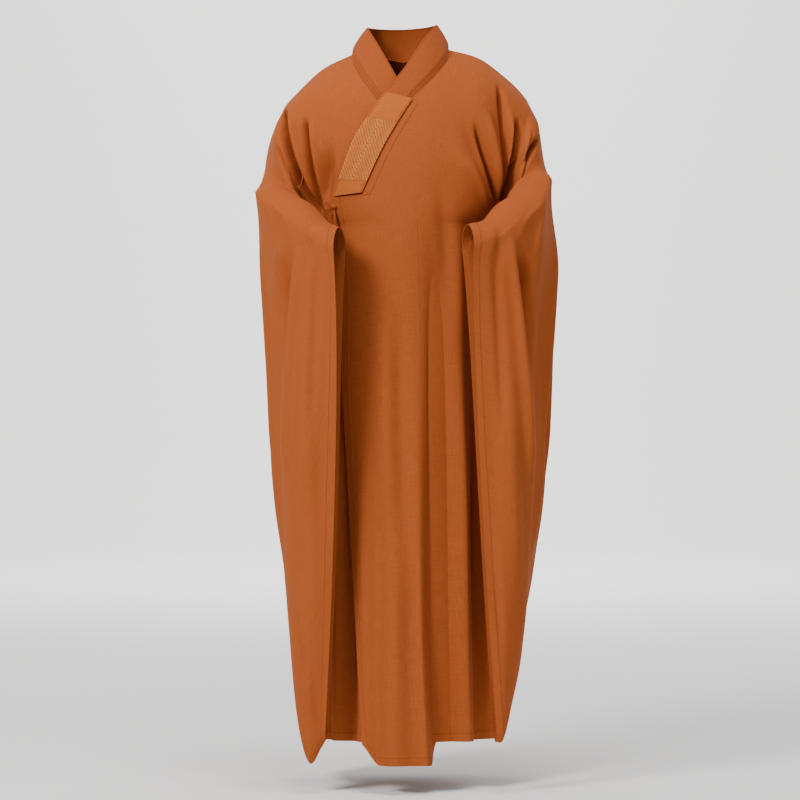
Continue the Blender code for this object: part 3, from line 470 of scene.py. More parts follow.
# Cotton and polyester, plain woven of slubbed yarn: matte, with faint short streaks both ways
def slubCloth(name, mid, light, dark, relief=1.0, stitch=None):
    material = bpy.data.materials.new(name)
    material.use_nodes = True
    tree = material.node_tree
    shader = tree.nodes["Principled BSDF"]
    for socket, value in (
        ("Roughness", 0.88),  # dry spun yarn
        ("IOR", 1.48),
        ("Specular IOR Level", 0.12),
        ("Sheen Weight", 0.04),  # a little nap catches light at the rim of each fold
        ("Sheen Roughness", 0.55),
        ("Sheen Tint", linear("#F0B27C")),
    ):
        shader.inputs[socket].default_value = value
    uv = addNode(tree, "UVMap", {"uv_map": "weave"}).outputs["UV"]
    noises = []
    for scale in ((1 / threadPitch["warp"], 1 / threadPitch["slub"], 1.0),
                  (1 / threadPitch["slub"], 1 / threadPitch["weft"], 1.0)):
        threadAt = addNode(tree, "VectorMath", multiply, {1: scale}, {0: uv})
        noise = addNode(tree, "TexNoise", flatNoise, {"Scale": 1.0, "Detail": 1.0}, {"Vector": threadAt.outputs[0]})
        noises.append(noise.outputs["Fac"])
    threads = addNode(tree, "Math", add, links={0: noises[0], 1: noises[1]})
    height = addNode(tree, "Math", multiply, {1: 0.5}, {0: threads.outputs[0]}).outputs[0]
    blotch = addNode(tree, "TexNoise", flatNoise, {"Scale": 9.0, "Detail": 3.0}, {"Vector": uv})
    tone = addNode(tree, "MapRange", {}, {"From Min": 0.36, "From Max": 0.64}, {"Value": height})
    woven = addNode(tree, "Mix", ofColours, {6: linear(dark), 7: linear(light)}, {0: tone.outputs[0]})
    share = addNode(tree, "MapRange", {}, {"From Min": 0.3, "From Max": 0.7, "To Min": 0.35, "To Max": 0.75},
                    {"Value": blotch.outputs["Fac"]})
    colour = addNode(tree, "Mix", ofColours, {7: linear(mid)}, {0: share.outputs[0], 6: woven.outputs[2]}).outputs[2]
    if stitch:  # a sunk line of thread along each sewn edge
        seamUv = addNode(tree, "UVMap", {"uv_map": "stitch"}).outputs["UV"]
        parts = addNode(tree, "SeparateXYZ", links={0: seamUv})
        off = addNode(tree, "Math", subtract, {1: stitch["inset"]}, {0: parts.outputs[1]})
        away = addNode(tree, "Math", absolute, links={0: off.outputs[0]})
        line = addNode(tree, "Math", lessThan, {1: stitch["thread"]}, {0: away.outputs[0]})
        along = addNode(tree, "Math", divide, {1: stitch["pitch"]}, {0: parts.outputs[0]})
        part = addNode(tree, "Math", fraction, links={0: along.outputs[0]})
        sewn = addNode(tree, "Math", lessThan, {1: 0.7}, {0: part.outputs[0]})
        mask = addNode(tree, "Math", multiply, links={0: line.outputs[0], 1: sewn.outputs[0]})
        colour = addNode(tree, "Mix", ofColours, {7: linear(stitch["colour"])},
                         {0: mask.outputs[0], 6: colour}).outputs[2]
        groove = addNode(tree, "Math", multiply, {1: -0.8}, {0: line.outputs[0]})
        raised = addNode(tree, "Math", add, links={0: groove.outputs[0], 1: mask.outputs[0]})
        height = addNode(tree, "Math", add, links={0: height, 1: raised.outputs[0]}).outputs[0]
    bump = addNode(tree, "Bump", {}, {"Strength": 0.45 * relief, "Distance": 0.0005}, {"Height": height})
    tree.links.new(colour, shader.inputs["Base Color"])
    tree.links.new(bump.outputs[0], shader.inputs["Normal"])
    return material


# Lengthwise rows of pale stitches, each shifted by half a stitch against the next, as on a sewn patch
def addQuilting(material, rowPitch, stitchLength, thread, colour):
    tree = material.node_tree
    shader = tree.nodes["Principled BSDF"]
    under = shader.inputs["Base Color"].links[0].from_socket
    uv = addNode(tree, "UVMap", {"uv_map": "stitch"}).outputs["UV"]
    parts = addNode(tree, "SeparateXYZ", links={0: uv})
    place = addNode(tree, "Math", divide, {1: rowPitch}, {0: parts.outputs[1]}).outputs[0]
    order = addNode(tree, "Math", wholePart, links={0: place}).outputs[0]
    inRow = addNode(tree, "Math", fraction, links={0: place}).outputs[0]
    off = addNode(tree, "Math", subtract, {1: 0.5}, {0: inRow}).outputs[0]
    away = addNode(tree, "Math", absolute, links={0: off}).outputs[0]
    line = addNode(tree, "Math", lessThan, {1: thread}, {0: away}).outputs[0]
    shift = addNode(tree, "Math", multiply, {1: 0.5}, {0: order}).outputs[0]
    along = addNode(tree, "Math", divide, {1: stitchLength}, {0: parts.outputs[0]}).outputs[0]
    moved = addNode(tree, "Math", add, links={0: along, 1: shift}).outputs[0]
    part = addNode(tree, "Math", fraction, links={0: moved}).outputs[0]
    sewn = addNode(tree, "Math", lessThan, {1: 0.62}, {0: part}).outputs[0]
    mask = addNode(tree, "Math", multiply, links={0: line, 1: sewn}).outputs[0]
    mixed = addNode(tree, "Mix", ofColours, {7: linear(colour)}, {0: mask, 6: under}).outputs[2]
    tree.links.new(mixed, shader.inputs["Base Color"])


hemStitch = dict(inset=0.0155, thread=0.0007, pitch=0.0042, colour="#7E3B11")
bandStitch = dict(inset=0.0026, thread=0.0008, pitch=0.0036, colour="#7A380F")
# Robe cloth: soft and matte. Collar: the same weave in layers, so a little darker. Patch: smoother and paler.
robeCloth = slubCloth("slubbed_plain_weave", "#9F4E22", "#A85528", "#95471D", stitch=hemStitch)
collarCloth = slubCloth("layered_collar_weave", "#99491F", "#A14F24", "#8F431A", stitch=bandStitch)
patchCloth = slubCloth("smooth_patch_weave", "#AF5B27", "#B6622D", "#A55421", relief=0.7, stitch=bandStitch)
quiltCloth = slubCloth("quilted_patch_weave", "#AB5927", "#B3602D", "#A15221", relief=0.5)
# Real rows are near 1.2 mm apart with stitches of 2 to 3 mm, drawn coarser so that they show
addQuilting(quiltCloth, rowPitch=0.0032, stitchLength=0.0078, thread=0.24, colour="#D08746")
print("materials made")


# Shares from 0 to 1 that lie closer together towards both ends
def crowded(count, strength=0.8):
    t = np.linspace(0.0, 1.0, count)
    return t - strength * np.sin(2 * math.pi * t) / (2 * math.pi)


def gridNormals(grid, ring):
    spans = grid if ring else grid[:, :-1]
    beyond = np.roll(grid, -1, axis=1) if ring else grid[:, 1:]
    cells = np.cross(beyond[:-1] - spans[1:], beyond[1:] - spans[:-1])
    normal = np.zeros_like(grid)
    normal[:-1, :cells.shape[1]] += cells
    normal[1:, :cells.shape[1]] += cells
    if ring:
        cells = np.roll(cells, 1, axis=1)
        normal[:-1] += cells
        normal[1:] += cells
    else:
        normal[:-1, 1:] += cells
        normal[1:, 1:] += cells
    return normal / np.maximum(np.linalg.norm(normal, axis=-1, keepdims=True), 1e-12)


# Distance along each row, in metres, with one more column on a ring
def lengthAcross(grid, ring):
    points = np.concatenate([grid, grid[:, :1]], axis=1) if ring else grid
    steps = np.linalg.norm(np.diff(points, axis=1), axis=-1)
    return np.concatenate([np.zeros((len(grid), 1)), np.cumsum(steps, axis=1)], axis=1)


def lengthAlong(grid, ring):
    steps = np.linalg.norm(np.diff(grid, axis=0), axis=-1)
    total = np.concatenate([np.zeros((1, grid.shape[1])), np.cumsum(steps, axis=0)], axis=0)
    return np.concatenate([total, total[:, :1]], axis=1) if ring else total


# A wall of cloth between two grids, with its rims, as the piece that replaces a node of the frame
def clothWall(name, outside, inside, material, node, stitch, weave=None, ring=False):
    rows, columns = outside.shape[:2]
    count = rows * columns
    spans = columns if ring else columns - 1
    i, j = np.meshgrid(np.arange(rows - 1), np.arange(spans), indexing="ij")
    k = (j + 1) % columns
    around = [i * columns + j, i * columns + k, (i + 1) * columns + k, (i + 1) * columns + j]
    places = [(i, j), (i, j + 1), (i + 1, j + 1), (i + 1, j)]
    outFaces = np.stack(around, axis=-1).reshape(-1, 4)
    points = outside.reshape(-1, 3)
    a, b, c, d = outFaces.T
    facing = np.cross(points[c] - points[a], points[d] - points[b])
    if (facing * (outside - inside).reshape(-1, 3)[a]).sum() < 0:
        around.reverse()
        places.reverse()
        outFaces = outFaces[:, ::-1]
    inFaces = np.stack(around[::-1], axis=-1).reshape(-1, 4) + count
    if weave is None:
        weave = np.stack([lengthAcross(outside, ring), lengthAlong(outside, ring)], axis=-1)
    maps = {"weave": weave, "stitch": stitch}
    corner = {key: np.stack([value[at] for at in places], axis=-2).reshape(-1, 4, 2) for key, value in maps.items()}
    rims, rimUv = [], {key: [] for key in maps}

    def addRim(first, second):
        start, end = first[0] * columns + first[1] % columns, second[0] * columns + second[1] % columns
        rims.append(np.stack([start, end, end + count, start + count], axis=-1))
        for key, value in maps.items():
            rimUv[key].append(np.stack([value[first], value[second], value[second], value[first]], axis=-2))

    line, side = np.arange(spans), np.arange(rows - 1)
    for row in (0, rows - 1):
        level = np.full(spans, row)
        addRim((level, line), (level, line + 1))
    if not ring:
        for column in (0, columns - 1):
            upright = np.full(rows - 1, column)
            addRim((side, upright), (side + 1, upright))
    faces = np.concatenate([outFaces, inFaces] + rims)
    mesh = bpy.data.meshes.new(name)
    mesh.from_pydata(np.concatenate([points, inside.reshape(-1, 3)]).tolist(), [], faces.tolist())
    for key in maps:
        layer = mesh.uv_layers.new(name=key)
        values = np.concatenate([corner[key], corner[key][:, ::-1]] + rimUv[key]).reshape(-1)
        layer.data.foreach_set("uv", values.astype(np.float32))
    mesh.materials.append(material)
    mesh.validate()
    obj = bpy.data.objects.new(name, mesh)
    bpy.context.scene.collection.objects.link(obj)
    bpy.context.view_layer.objects.active = obj
    obj.select_set(True)
    bpy.ops.object.mode_set(mode="EDIT")
    bpy.ops.mesh.select_all(action="SELECT")
    bpy.ops.mesh.normals_make_consistent(inside=False)
    bpy.ops.object.mode_set(mode="OBJECT")
    obj.select_set(False)
    mesh.shade_smooth()
    mesh.set_sharp_from_angle(angle=math.radians(50))
    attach(obj, "root")
    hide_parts(node)
    return obj


bodyGrid = dict(skirtRows=76, shoulderRows=116, columns=104, overlapColumns=84, underColumns=50, hemRows=10)
bodyWeave = dict(width=0.27, yoke=0.42, backTop=1.84)  # size of the weave's map, in metres
yokeSeamX = 0.027
leastStrip = 0.0012


def bodyRows(withBack):
    hem = np.linspace(0.0, cut["hemTurn"] * 1.25, bodyGrid["hemRows"])
    below = np.linspace(hem[-1], 1.0, bodyGrid["skirtRows"])[1:]
    above = 2.0 - (np.linspace(1.0, 0.0, bodyGrid["shoulderRows"]) ** 1.25)
    front = np.concatenate([hem, below, above[1:]])
    return np.concatenate([front, (4.0 - front[::-1])[1:]]) if withBack else front


def downOf(row):
    return float(np.clip(1.0 - row, 0.0, 1.0))


def neckBackX(q, wide):
    return max(0.0, float(curveOf(neckBack, "q", "x", q))) * wide / leftNeck


def outerSeamX(row):
    if row <= 1.0:
        return float(curveOf(centreSeam, "down", "x", downOf(row)))
    if row <= 2.0:
        return max(yokeSeamX, float(curveOf(outerEdge, "q", "x", 2.0 - row)))
    return neckBackX(row - 2.0, leftNeck) if row < 3.0 else 0.0


def innerSeamEdge(row):
    if row <= 1.0:
        return innerSeamX
    if row <= 2.0:
        return min(innerSeamX, float(curveOf(innerEdge, "q", "x", 2.0 - row)))
    return -neckBackX(row - 2.0, rightNeck) if row < 3.0 else 0.0


def outerFreeX(row):
    if row <= 1.0:
        return float(curveOf(freeEdge, "down", "x", downOf(row)))
    q = 2.0 - row
    if q > lapelEnd + lapelEndStep / 2:
        share = (1.0 - q) / (1.0 - lapelEnd)
        return freeEdge["x"][0] + (-lapelEndHalf - freeEdge["x"][0]) * share
    return float(curveOf(outerEdge, "q", "x", q))


def innerFreeEdge(row):
    q = 2.0 - row
    if row <= 1.0 or q > lapelEnd + lapelEndStep / 2:
        return innerFreeX
    return float(curveOf(innerEdge, "q", "x", q))


def outerHighX(row):
    return max(outerSeamX(row) - cut["seamGap"] if row <= 1.0 else yokeSeamX, outerFreeX(row) + leastStrip)


def innerLowX(row):
    return min(innerSeamX, innerFreeEdge(row) - leastStrip)


# How much a turned hem is raised, by the distance from the edge
def hemLift(fromEdge):
    return cut["hemRaise"] * (1.0 - ramp(cut["hemTurn"] - 0.002, cut["hemTurn"], fromEdge))


# A cut panel. A missing edge is the side seam. hemSide names the long edge that is turned and sewn: low or high.
def clothPanel(name, node, surface, rows, lowX, highX, columns, hemSide=None):
    shares = crowded(columns)
    u = np.zeros((len(rows), columns))
    w = np.repeat(rows[:, None], columns, axis=1)
    for i, row in enumerate(rows):
        low = uAt(lowX(row), row) if lowX else -1.0
        high = uAt(highX(row), row) if highX else 1.0
        u[i] = low + (high - low) * shares
    outside = surface(u, w)
    normal = gridNormals(outside, False)
    if normal[:40, :, 1].mean() > 0:  # the first rows are the front, which faces -Y
        normal = -normal
    across = lengthAcross(outside, False)
    along = lengthAlong(outside, False)
    fromHem = np.minimum(along, along[-1:] - along) if rows[-1] > 3.9 else along
    if hemSide == "low":
        fromHem = np.minimum(fromHem, across)
    if hemSide == "high":
        fromHem = np.minimum(fromHem, across[:, -1:] - across)
    outside = outside + normal * hemLift(fromHem)[..., None]
    stitch = np.stack([along + across, fromHem], axis=-1)
    height = np.where(w < 1.0, w, 1.0 + (w - 1.0) * bodyWeave["yoke"])
    height = np.where(w > 3.0, bodyWeave["backTop"] + (w - 3.0), height)
    weave = np.stack([u * bodyWeave["width"], height], axis=-1)
    inside = outside - normal * cut["wall"]
    return clothWall(name, outside, inside, robeCloth, node, stitch, weave)


rows = bodyRows(True)
wide = bodyGrid["columns"]
bodyLeft = clothPanel("bodyLeftCloth", "body_left", outerCloth, rows, outerSeamX, None, wide)
bodyRight = clothPanel("bodyRightCloth", "body_right", innerCloth, rows, None, innerSeamEdge, wide)
rows = bodyRows(False)
rows = rows[rows <= 1.70]
overlapOuter = clothPanel("overlapOuterCloth", "overlap_outer", outerCloth, rows, outerFreeX, outerHighX,
                          bodyGrid["overlapColumns"], "low")
overlapInner = clothPanel("overlapInnerCloth", "overlap_inner", innerCloth, rows, innerLowX, innerFreeEdge,
                          bodyGrid["underColumns"], "high")
print("body and overlaps made")


upperArm = table(
    "share frontX frontY frontZ backX backY backZ",
    (0.00, 0.256, 0.006, -0.150, 0.256, 0.006, -0.150),
    (0.06, 0.255, -0.024, -0.155, 0.264, 0.036, -0.160),
    (0.15, 0.249, -0.046, -0.166, 0.270, 0.062, -0.182),
    (0.30, 0.235, -0.060, -0.192, 0.270, 0.080, -0.224),
    (0.50, 0.217, -0.063, -0.240, 0.260, 0.086, -0.288),
    (0.75, 0.205, -0.044, -0.326, 0.240, 0.070, -0.380),
    (1.00, 0.208, 0.012, -0.450, 0.208, 0.012, -0.450),
)
sleeveNames = (
    "topX topY topZ midX midY midZ footX footY footZ"
    " turn innerArm outerArm innerGap outerGap footRound fall armShare"
)
rightSleeve = table(
    sleeveNames,
    (0.256, -0.056, -0.236, 0.24, -0.05, -0.5, 0.228, -0.02, -0.77,
     60, 0.05, 0.034, 0.034, 0.03, 0.11, 2.5, 0.42),
    (0.25, -0.099, -0.244, 0.238, -0.084, -0.56, 0.226, -0.054, -0.93,
     100, 0.048, 0.038, 0.026, 0.024, 0.08, 4.0, 0.4),
    (0.226, -0.134, -0.262, 0.236, -0.126, -0.64, 0.208, -0.096, -1.08,
     120, 0.046, 0.042, 0.017, 0.016, 0.07, 6.0, 0.34),
    (0.188, -0.168, -0.294, 0.212, -0.19, -0.66, 0.197, -0.154, -1.258,
     135, 0.044, 0.042, 0.013, 0.014, 0.06, 7.0, 0.27),
    (0.151, -0.198, -0.331, 0.174, -0.22, -0.74, 0.178, -0.188, -1.366,
     152, 0.044, 0.042, 0.012, 0.014, 0.044, 7.0, 0.22),
    (0.121, -0.212, -0.345, 0.125, -0.222, -0.78, 0.146, -0.198, -1.322,
     166, 0.044, 0.045, 0.012, 0.012, 0.034, 7.0, 0.19),
)
leftSleeve = table(
    sleeveNames,
    (0.27, -0.056, -0.21, 0.256, -0.05, -0.5, 0.246, -0.02, -0.78,
     60, 0.05, 0.034, 0.034, 0.034, 0.11, 2.5, 0.42),
    (0.262, -0.096, -0.222, 0.262, -0.082, -0.56, 0.24, -0.054, -0.95,
     100, 0.048, 0.04, 0.028, 0.028, 0.08, 4.0, 0.4),
    (0.234, -0.134, -0.256, 0.254, -0.126, -0.64, 0.224, -0.098, -1.09,
     120, 0.046, 0.046, 0.017, 0.018, 0.06, 6.0, 0.34),
    (0.194, -0.168, -0.294, 0.23, -0.192, -0.7, 0.204, -0.156, -1.24,
     134, 0.044, 0.044, 0.013, 0.014, 0.05, 7.0, 0.27),
    (0.156, -0.198, -0.329, 0.18, -0.22, -0.74, 0.19, -0.19, -1.318,
     152, 0.044, 0.042, 0.012, 0.014, 0.034, 7.0, 0.22),
    (0.122, -0.212, -0.34, 0.142, -0.222, -0.78, 0.176, -0.198, -1.325,
     166, 0.044, 0.045, 0.012, 0.012, 0.022, 7.0, 0.19),
)
# Folds on the faces of the sleeves that look forward. Distances outward from the centre are positive.
rightSleeveFolds = table(
    foldNames,
    (0.198, -0.365, 0.211, -0.520, 0.236, -0.840, 0.010, 0.013, 0.10),
    (0.214, -0.370, 0.230, -0.520, 0.252, -0.840, 0.011, -0.018, 0.10),
    (0.232, -0.350, 0.244, -0.430, 0.252, -0.530, 0.009, 0.010, 0.07),
    (0.238, -0.380, 0.250, -0.580, 0.262, -0.960, 0.022, -0.010, 0.10),
    (0.160, -0.350, 0.168, -0.520, 0.176, -0.780, 0.010, -0.007, 0.12),
    (0.176, -0.330, 0.180, -0.372, 0.178, -0.440, 0.008, -0.006, 0.05),
    (0.150, -0.420, 0.156, -0.700, 0.162, -1.050, 0.018, -0.005, 0.20),
    (0.178, -0.460, 0.186, -0.700, 0.196, -0.980, 0.020, 0.005, 0.16),
    (0.186, -0.760, 0.190, -0.940, 0.192, -1.150, 0.014, -0.006, 0.14),
    (0.205, -1.080, 0.196, -1.150, 0.180, -1.240, 0.008, -0.007, 0.06),
    (0.188, -1.150, 0.180, -1.230, 0.168, -1.310, 0.008, 0.006, 0.06),
)
leftSleeveFolds = table(
    foldNames,
    (0.201, -0.335, 0.222, -0.500, 0.254, -0.860, 0.010, 0.013, 0.09),
    (0.216, -0.365, 0.238, -0.500, 0.270, -0.800, 0.011, -0.019, 0.07),
    (0.218, -0.385, 0.232, -0.420, 0.244, -0.470, 0.010, -0.010, 0.03),
    (0.276, -0.310, 0.262, -0.420, 0.240, -0.540, 0.011, 0.009, 0.07),
    (0.244, -0.370, 0.260, -0.560, 0.276, -0.920, 0.022, -0.010, 0.10),
    (0.172, -0.350, 0.182, -0.520, 0.192, -0.760, 0.010, -0.007, 0.12),
    (0.182, -0.330, 0.184, -0.372, 0.180, -0.440, 0.008, -0.005, 0.05),
    (0.162, -0.420, 0.172, -0.700, 0.180, -1.050, 0.018, -0.004, 0.20),
    (0.198, -0.560, 0.210, -0.820, 0.220, -1.120, 0.018, 0.006, 0.18),
    (0.228, -0.700, 0.236, -0.880, 0.238, -1.080, 0.014, -0.007, 0.14),
    (0.160, -0.900, 0.178, -1.050, 0.192, -1.200, 0.010, -0.005, 0.12),
)
# Folds on the sides of the sleeves, along lines given by their distance forward or back (here as x) and height
sleeveSideFolds = table(
    foldNames,
    (-0.072, -0.300, -0.086, -0.560, -0.112, -0.960, 0.012, -0.010, 0.14),
    (-0.094, -0.290, -0.110, -0.560, -0.138, -1.000, 0.012, 0.009, 0.16),
    (-0.030, -0.330, -0.038, -0.520, -0.062, -0.800, 0.015, -0.008, 0.14),
    (-0.050, -0.300, -0.060, -0.540, -0.086, -0.860, 0.012, 0.006, 0.14),
    (0.014, -0.230, 0.008, -0.400, -0.022, -0.640, 0.014, 0.007, 0.10),
    (0.036, -0.200, 0.032, -0.330, 0.010, -0.500, 0.010, -0.007, 0.08),
    (-0.146, -0.440, -0.158, -0.700, -0.166, -1.080, 0.014, -0.006, 0.18),
)
footShare = 0.79
sleeveGrid = dict(stations=132, around=118, cuffStations=14, crowding=1.35, cuffFrom=6.55)
sleeveDrape = dict(
    drawIn=0.015,  # the left elbow hangs closer to the body than the right one
    drawX=(0.262, 0.304),
    drawZ=(-0.42, -0.26),
    sink=0.013,  # the cloth sinks behind the elbow
    sinkFrom=(1.2, 2.3),
    sinkTo=(3.4, 5.2),
    drift=1.2,
    easeRounds=14,  # the creases run out softly at the armpit
)


def armShares(count):
    return (np.arange(count + 1) / count) ** sleeveGrid["crowding"]


# A point of the ring round the forearm and the hanging cloth below it, share of the way from top to foot
def halfRing(row, share, inner):
    arm = row["innerArm"] if inner else row["outerArm"]
    gap = row["innerGap"] if inner else row["outerGap"]
    top, mid, foot = [np.array([row[part + axis] for axis in "XYZ"]) for part in ("top", "mid", "foot")]
    length = top[2] - foot[2]
    closing = row["footRound"]
    wraps = row["armShare"]
    if share < wraps:
        angle = share / wraps * math.pi / 2
        deep = arm * (1.0 - math.cos(angle))
        aside = arm * math.sin(angle)
    elif share < footShare:
        t = (share - wraps) / (footShare - wraps)
        deep = arm + (length - closing - arm) * t
        aside = gap + (arm - gap) * (1.0 - t) ** row["fall"]
    else:
        angle = (share - footShare) / (1.0 - footShare) * math.pi / 2
        deep = length - closing + closing * math.sin(angle)
        aside = gap * math.cos(angle)
    s = deep / length
    m = (top[2] - mid[2]) / length
    centre = top * (s - m) * (s - 1) / m + mid * s * (s - 1) / (m * (m - 1)) + foot * s * (s - m) / (1 - m)
    centre[2] = top[2] - deep
    turn = math.radians(row["turn"])
    way = np.array([-math.sin(turn), -math.cos(turn), 0.0])
    return centre + way * (aside if inner else -aside)


# The rings from the armhole (0) by the upper arm (1) to the cuff (7)
def sleeveKeys(side, sizes, shares):
    surface = outerCloth if side > 0 else innerCloth
    full = np.full(len(shares), float(side))
    keys = [np.concatenate([surface(full, 2.0 - shares), surface(full, 2.0 + shares)[-2:0:-1]])]
    halves = [np.stack([curveOf(upperArm, "share", half + axis, shares) for axis in "XYZ"], axis=-1)
              for half in ("front", "back")]
    upper = np.concatenate([halves[0], halves[1][-2:0:-1]])
    if side > 0:
        upper += (cut["leftReach"], 0.0, cut["leftLift"])
    rings = [upper]
    for i in range(len(sizes["turn"])):
        row = {key: values[i] for key, values in sizes.items()}
        inner = [halfRing(row, share, True) for share in shares]
        rings.append(np.array(inner + [halfRing(row, share, False) for share in shares[-2:0:-1]]))
    return np.array(keys + [ring * (side, 1.0, 1.0) for ring in rings])


def outwardNormals(grid):
    normal = gridNormals(grid, True)
    return -normal if ((grid - grid.mean(axis=1, keepdims=True)) * normal).sum() < 0 else normal


# The armpit's creases carry on from the body into the sleeve and run out there
def creaseSleeve(grid, side, stations, frontHalf):
    facing = outwardNormals(grid)
    facing = facing[..., 0] * side * creaseWay["aside"] - facing[..., 1] * creaseWay["forward"]
    push = creasePush("left" if side > 0 else "right", grid[..., 0], grid[..., 2], frontHalf[None, :])
    push = push * (1.0 - ramp(1.2, 2.2, stations))[:, None]
    push = push * (1.0 - ramp(0.0, 0.6, stations)[:, None] * (1.0 - ramp(0.1, 0.6, facing)))
    push[0] = 0.0  # the armhole edge already has the body's creases
    grid[..., 0] += side * push * creaseWay["aside"]
    grid[..., 1] -= push * creaseWay["forward"]
    eased = grid.copy()
    for _ in range(sleeveDrape["easeRounds"]):
        beside = np.roll(eased, 1, axis=1) + np.roll(eased, -1, axis=1)
        eased[1:-1] = 0.5 * eased[1:-1] + 0.125 * (eased[:-2] + eased[2:] + beside[1:-1])
    nearSeam = ramp(0.0, 0.1, stations) * (1.0 - ramp(1.0, 1.8, stations))
    turned = (1.0 - ramp(0.45, 0.85, facing)) * (frontHalf > 0.2)
    grid += (eased - grid) * (nearSeam[:, None] * turned)[..., None]


def makeSleeve(name, node, side, sizes, folds, seed):
    shares = armShares(sleeveGrid["around"])
    keys = sleeveKeys(side, sizes, shares)
    places = np.arange(len(keys), dtype=float)
    cuff = np.linspace(sleeveGrid["cuffFrom"], places[-1], sleeveGrid["cuffStations"])[1:]
    stations = np.concatenate([np.linspace(0.0, sleeveGrid["cuffFrom"], sleeveGrid["stations"]), cuff])
    grid = np.zeros((len(stations), keys.shape[1], 3))
    for j in range(keys.shape[1]):
        for axis in range(3):
            grid[:, j, axis] = curve(places, keys[:, j, axis], stations)
    drape = sleeveDrape
    if side > 0:
        near = ramp(*drape["drawX"], grid[..., 0]) * ramp(*drape["drawZ"], grid[..., 2])
        grid[..., 0] -= drape["drawIn"] * near
    fromTop = np.concatenate([shares, shares[-2:0:-1]])[None, :]
    alongArm = ramp(*drape["sinkFrom"], stations) * (1.0 - ramp(*drape["sinkTo"], stations))
    grid[..., 2] -= drape["sink"] * alongArm[:, None] * (1.0 - ramp(0.10, 0.34, fromTop))
    away = grid[1] - grid[0]
    grid[0] += away / np.linalg.norm(away, axis=-1, keepdims=True) * cut["seamGap"]
    frontHalf = np.zeros(keys.shape[1])
    frontHalf[:len(shares)] = shares
    creaseSleeve(grid, side, stations, frontHalf)
    normal = outwardNormals(grid)
    x, y, z = side * grid[..., 0], grid[..., 1], grid[..., 2]
    fromSeam = ramp(0.0, 0.8, stations)[:, None]
    forward = ramp(0.15, 0.75, -normal[..., 1])
    sideways = ramp(0.35, 0.85, side * normal[..., 0])
    height = foldHeight(folds, x, z) * forward * fromSeam + foldHeight(sleeveSideFolds, y, z) * sideways * fromSeam
    height = height + softDrift(x + y, z, seed) * drape["drift"] * fromSeam
    grid = grid + normal * height[..., None]
    normal = outwardNormals(grid)
    along = lengthAlong(grid, True)
    fromCuff = along[-1:] - along
    grid = grid + normal * hemLift(fromCuff[:, :-1])[..., None]
    across = lengthAcross(grid, True)
    stitch = np.stack([across, fromCuff], axis=-1)
    weave = np.stack([along, across], axis=-1)
    return clothWall(name, grid, grid - normal * cut["wall"], robeCloth, node, stitch, weave, ring=True)


sleeveRight = makeSleeve("sleeveRightCloth", "sleeve_right", -1, rightSleeve, rightSleeveFolds, 22)
sleeveLeft = makeSleeve("sleeveLeftCloth", "sleeve_left", 1, leftSleeve, leftSleeveFolds, 21)
print("sleeves made")


# The collar's free edge, by runs from the outer overlap's corner (-14) round the neck to the inner overlap (14).
# Where the band lies flat on the front, its distance forward follows the cloth under it.
freeBand = table(
    "run x y z",
    (-14, -0.1350, 0, -0.2800),
    (-13, -0.1150, 0, -0.2200),
    (-12, -0.0950, 0, -0.1680),
    (-11, -0.0770, 0, -0.1380),
    (-10, -0.0560, 0, -0.1070),
    (-9, -0.0270, 0, -0.0680),
    (-8, 0.0040, -0.0850, -0.0270),
    (-7, 0.0270, -0.0680, 0.0100),
    (-6, 0.0440, -0.0440, 0.0370),
    (-5, 0.0565, -0.0180, 0.0540),
    (-4, 0.0630, 0.0020, 0.0640),
    (-3, 0.0635, 0.0180, 0.0660),
    (-2, 0.0580, 0.0400, 0.0670),
    (-1, 0.0380, 0.0600, 0.0660),
    (0, 0.0000, 0.0700, 0.0640),
    (1, -0.0390, 0.0600, 0.0630),
    (2, -0.0600, 0.0400, 0.0620),
    (3, -0.0670, 0.0180, 0.0600),
    (4, -0.0680, 0.0020, 0.0570),
    (5, -0.0620, -0.0180, 0.0460),
    (6, -0.0500, -0.0400, 0.0240),
    (7, -0.0350, -0.0600, -0.0040),
    (8, -0.0190, -0.0760, -0.0340),
    (9, 0.0000, 0, -0.0670),
    (10, 0.0260, 0, -0.0980),
    (11, 0.0500, 0, -0.1300),
    (12, 0.0760, 0, -0.1620),
    (13, 0.1010, 0, -0.2080),
    (14, 0.1300, 0, -0.2800),
)
collar = dict(
    lastRun=13.98,
    liesFlat=9,
    neckRun=4,  # up to here the band follows the back of the neck
    crown=0.0030,
    spans=8,
    underSeam=-0.035,  # the base layer starts a little under the body's edge
    layerStep=0.10,
    lift=0.0004,
    pillow=0.0005,
    runs=200,
    across=24,
)
layerRise = cut["collarWall"] + cut["seamGap"]


# Where the collar is sewn on at a run: the surface, u and w
def bandSeam(run):
    shares = armShares(12)
    outer = run < 0
    beyond = abs(run) - collar["neckRun"]
    q = shares[abs(beyond)]
    if beyond >= 0:
        w = 2.0 - q
        x = float(curveOf(outerEdge if outer else innerEdge, "q", "x", q))
    else:
        w = 2.0 + q
        x = neckBackX(q, leftNeck) if outer else -neckBackX(q, rightNeck)
    return outerCloth if outer else innerCloth, uAt(x, w), w


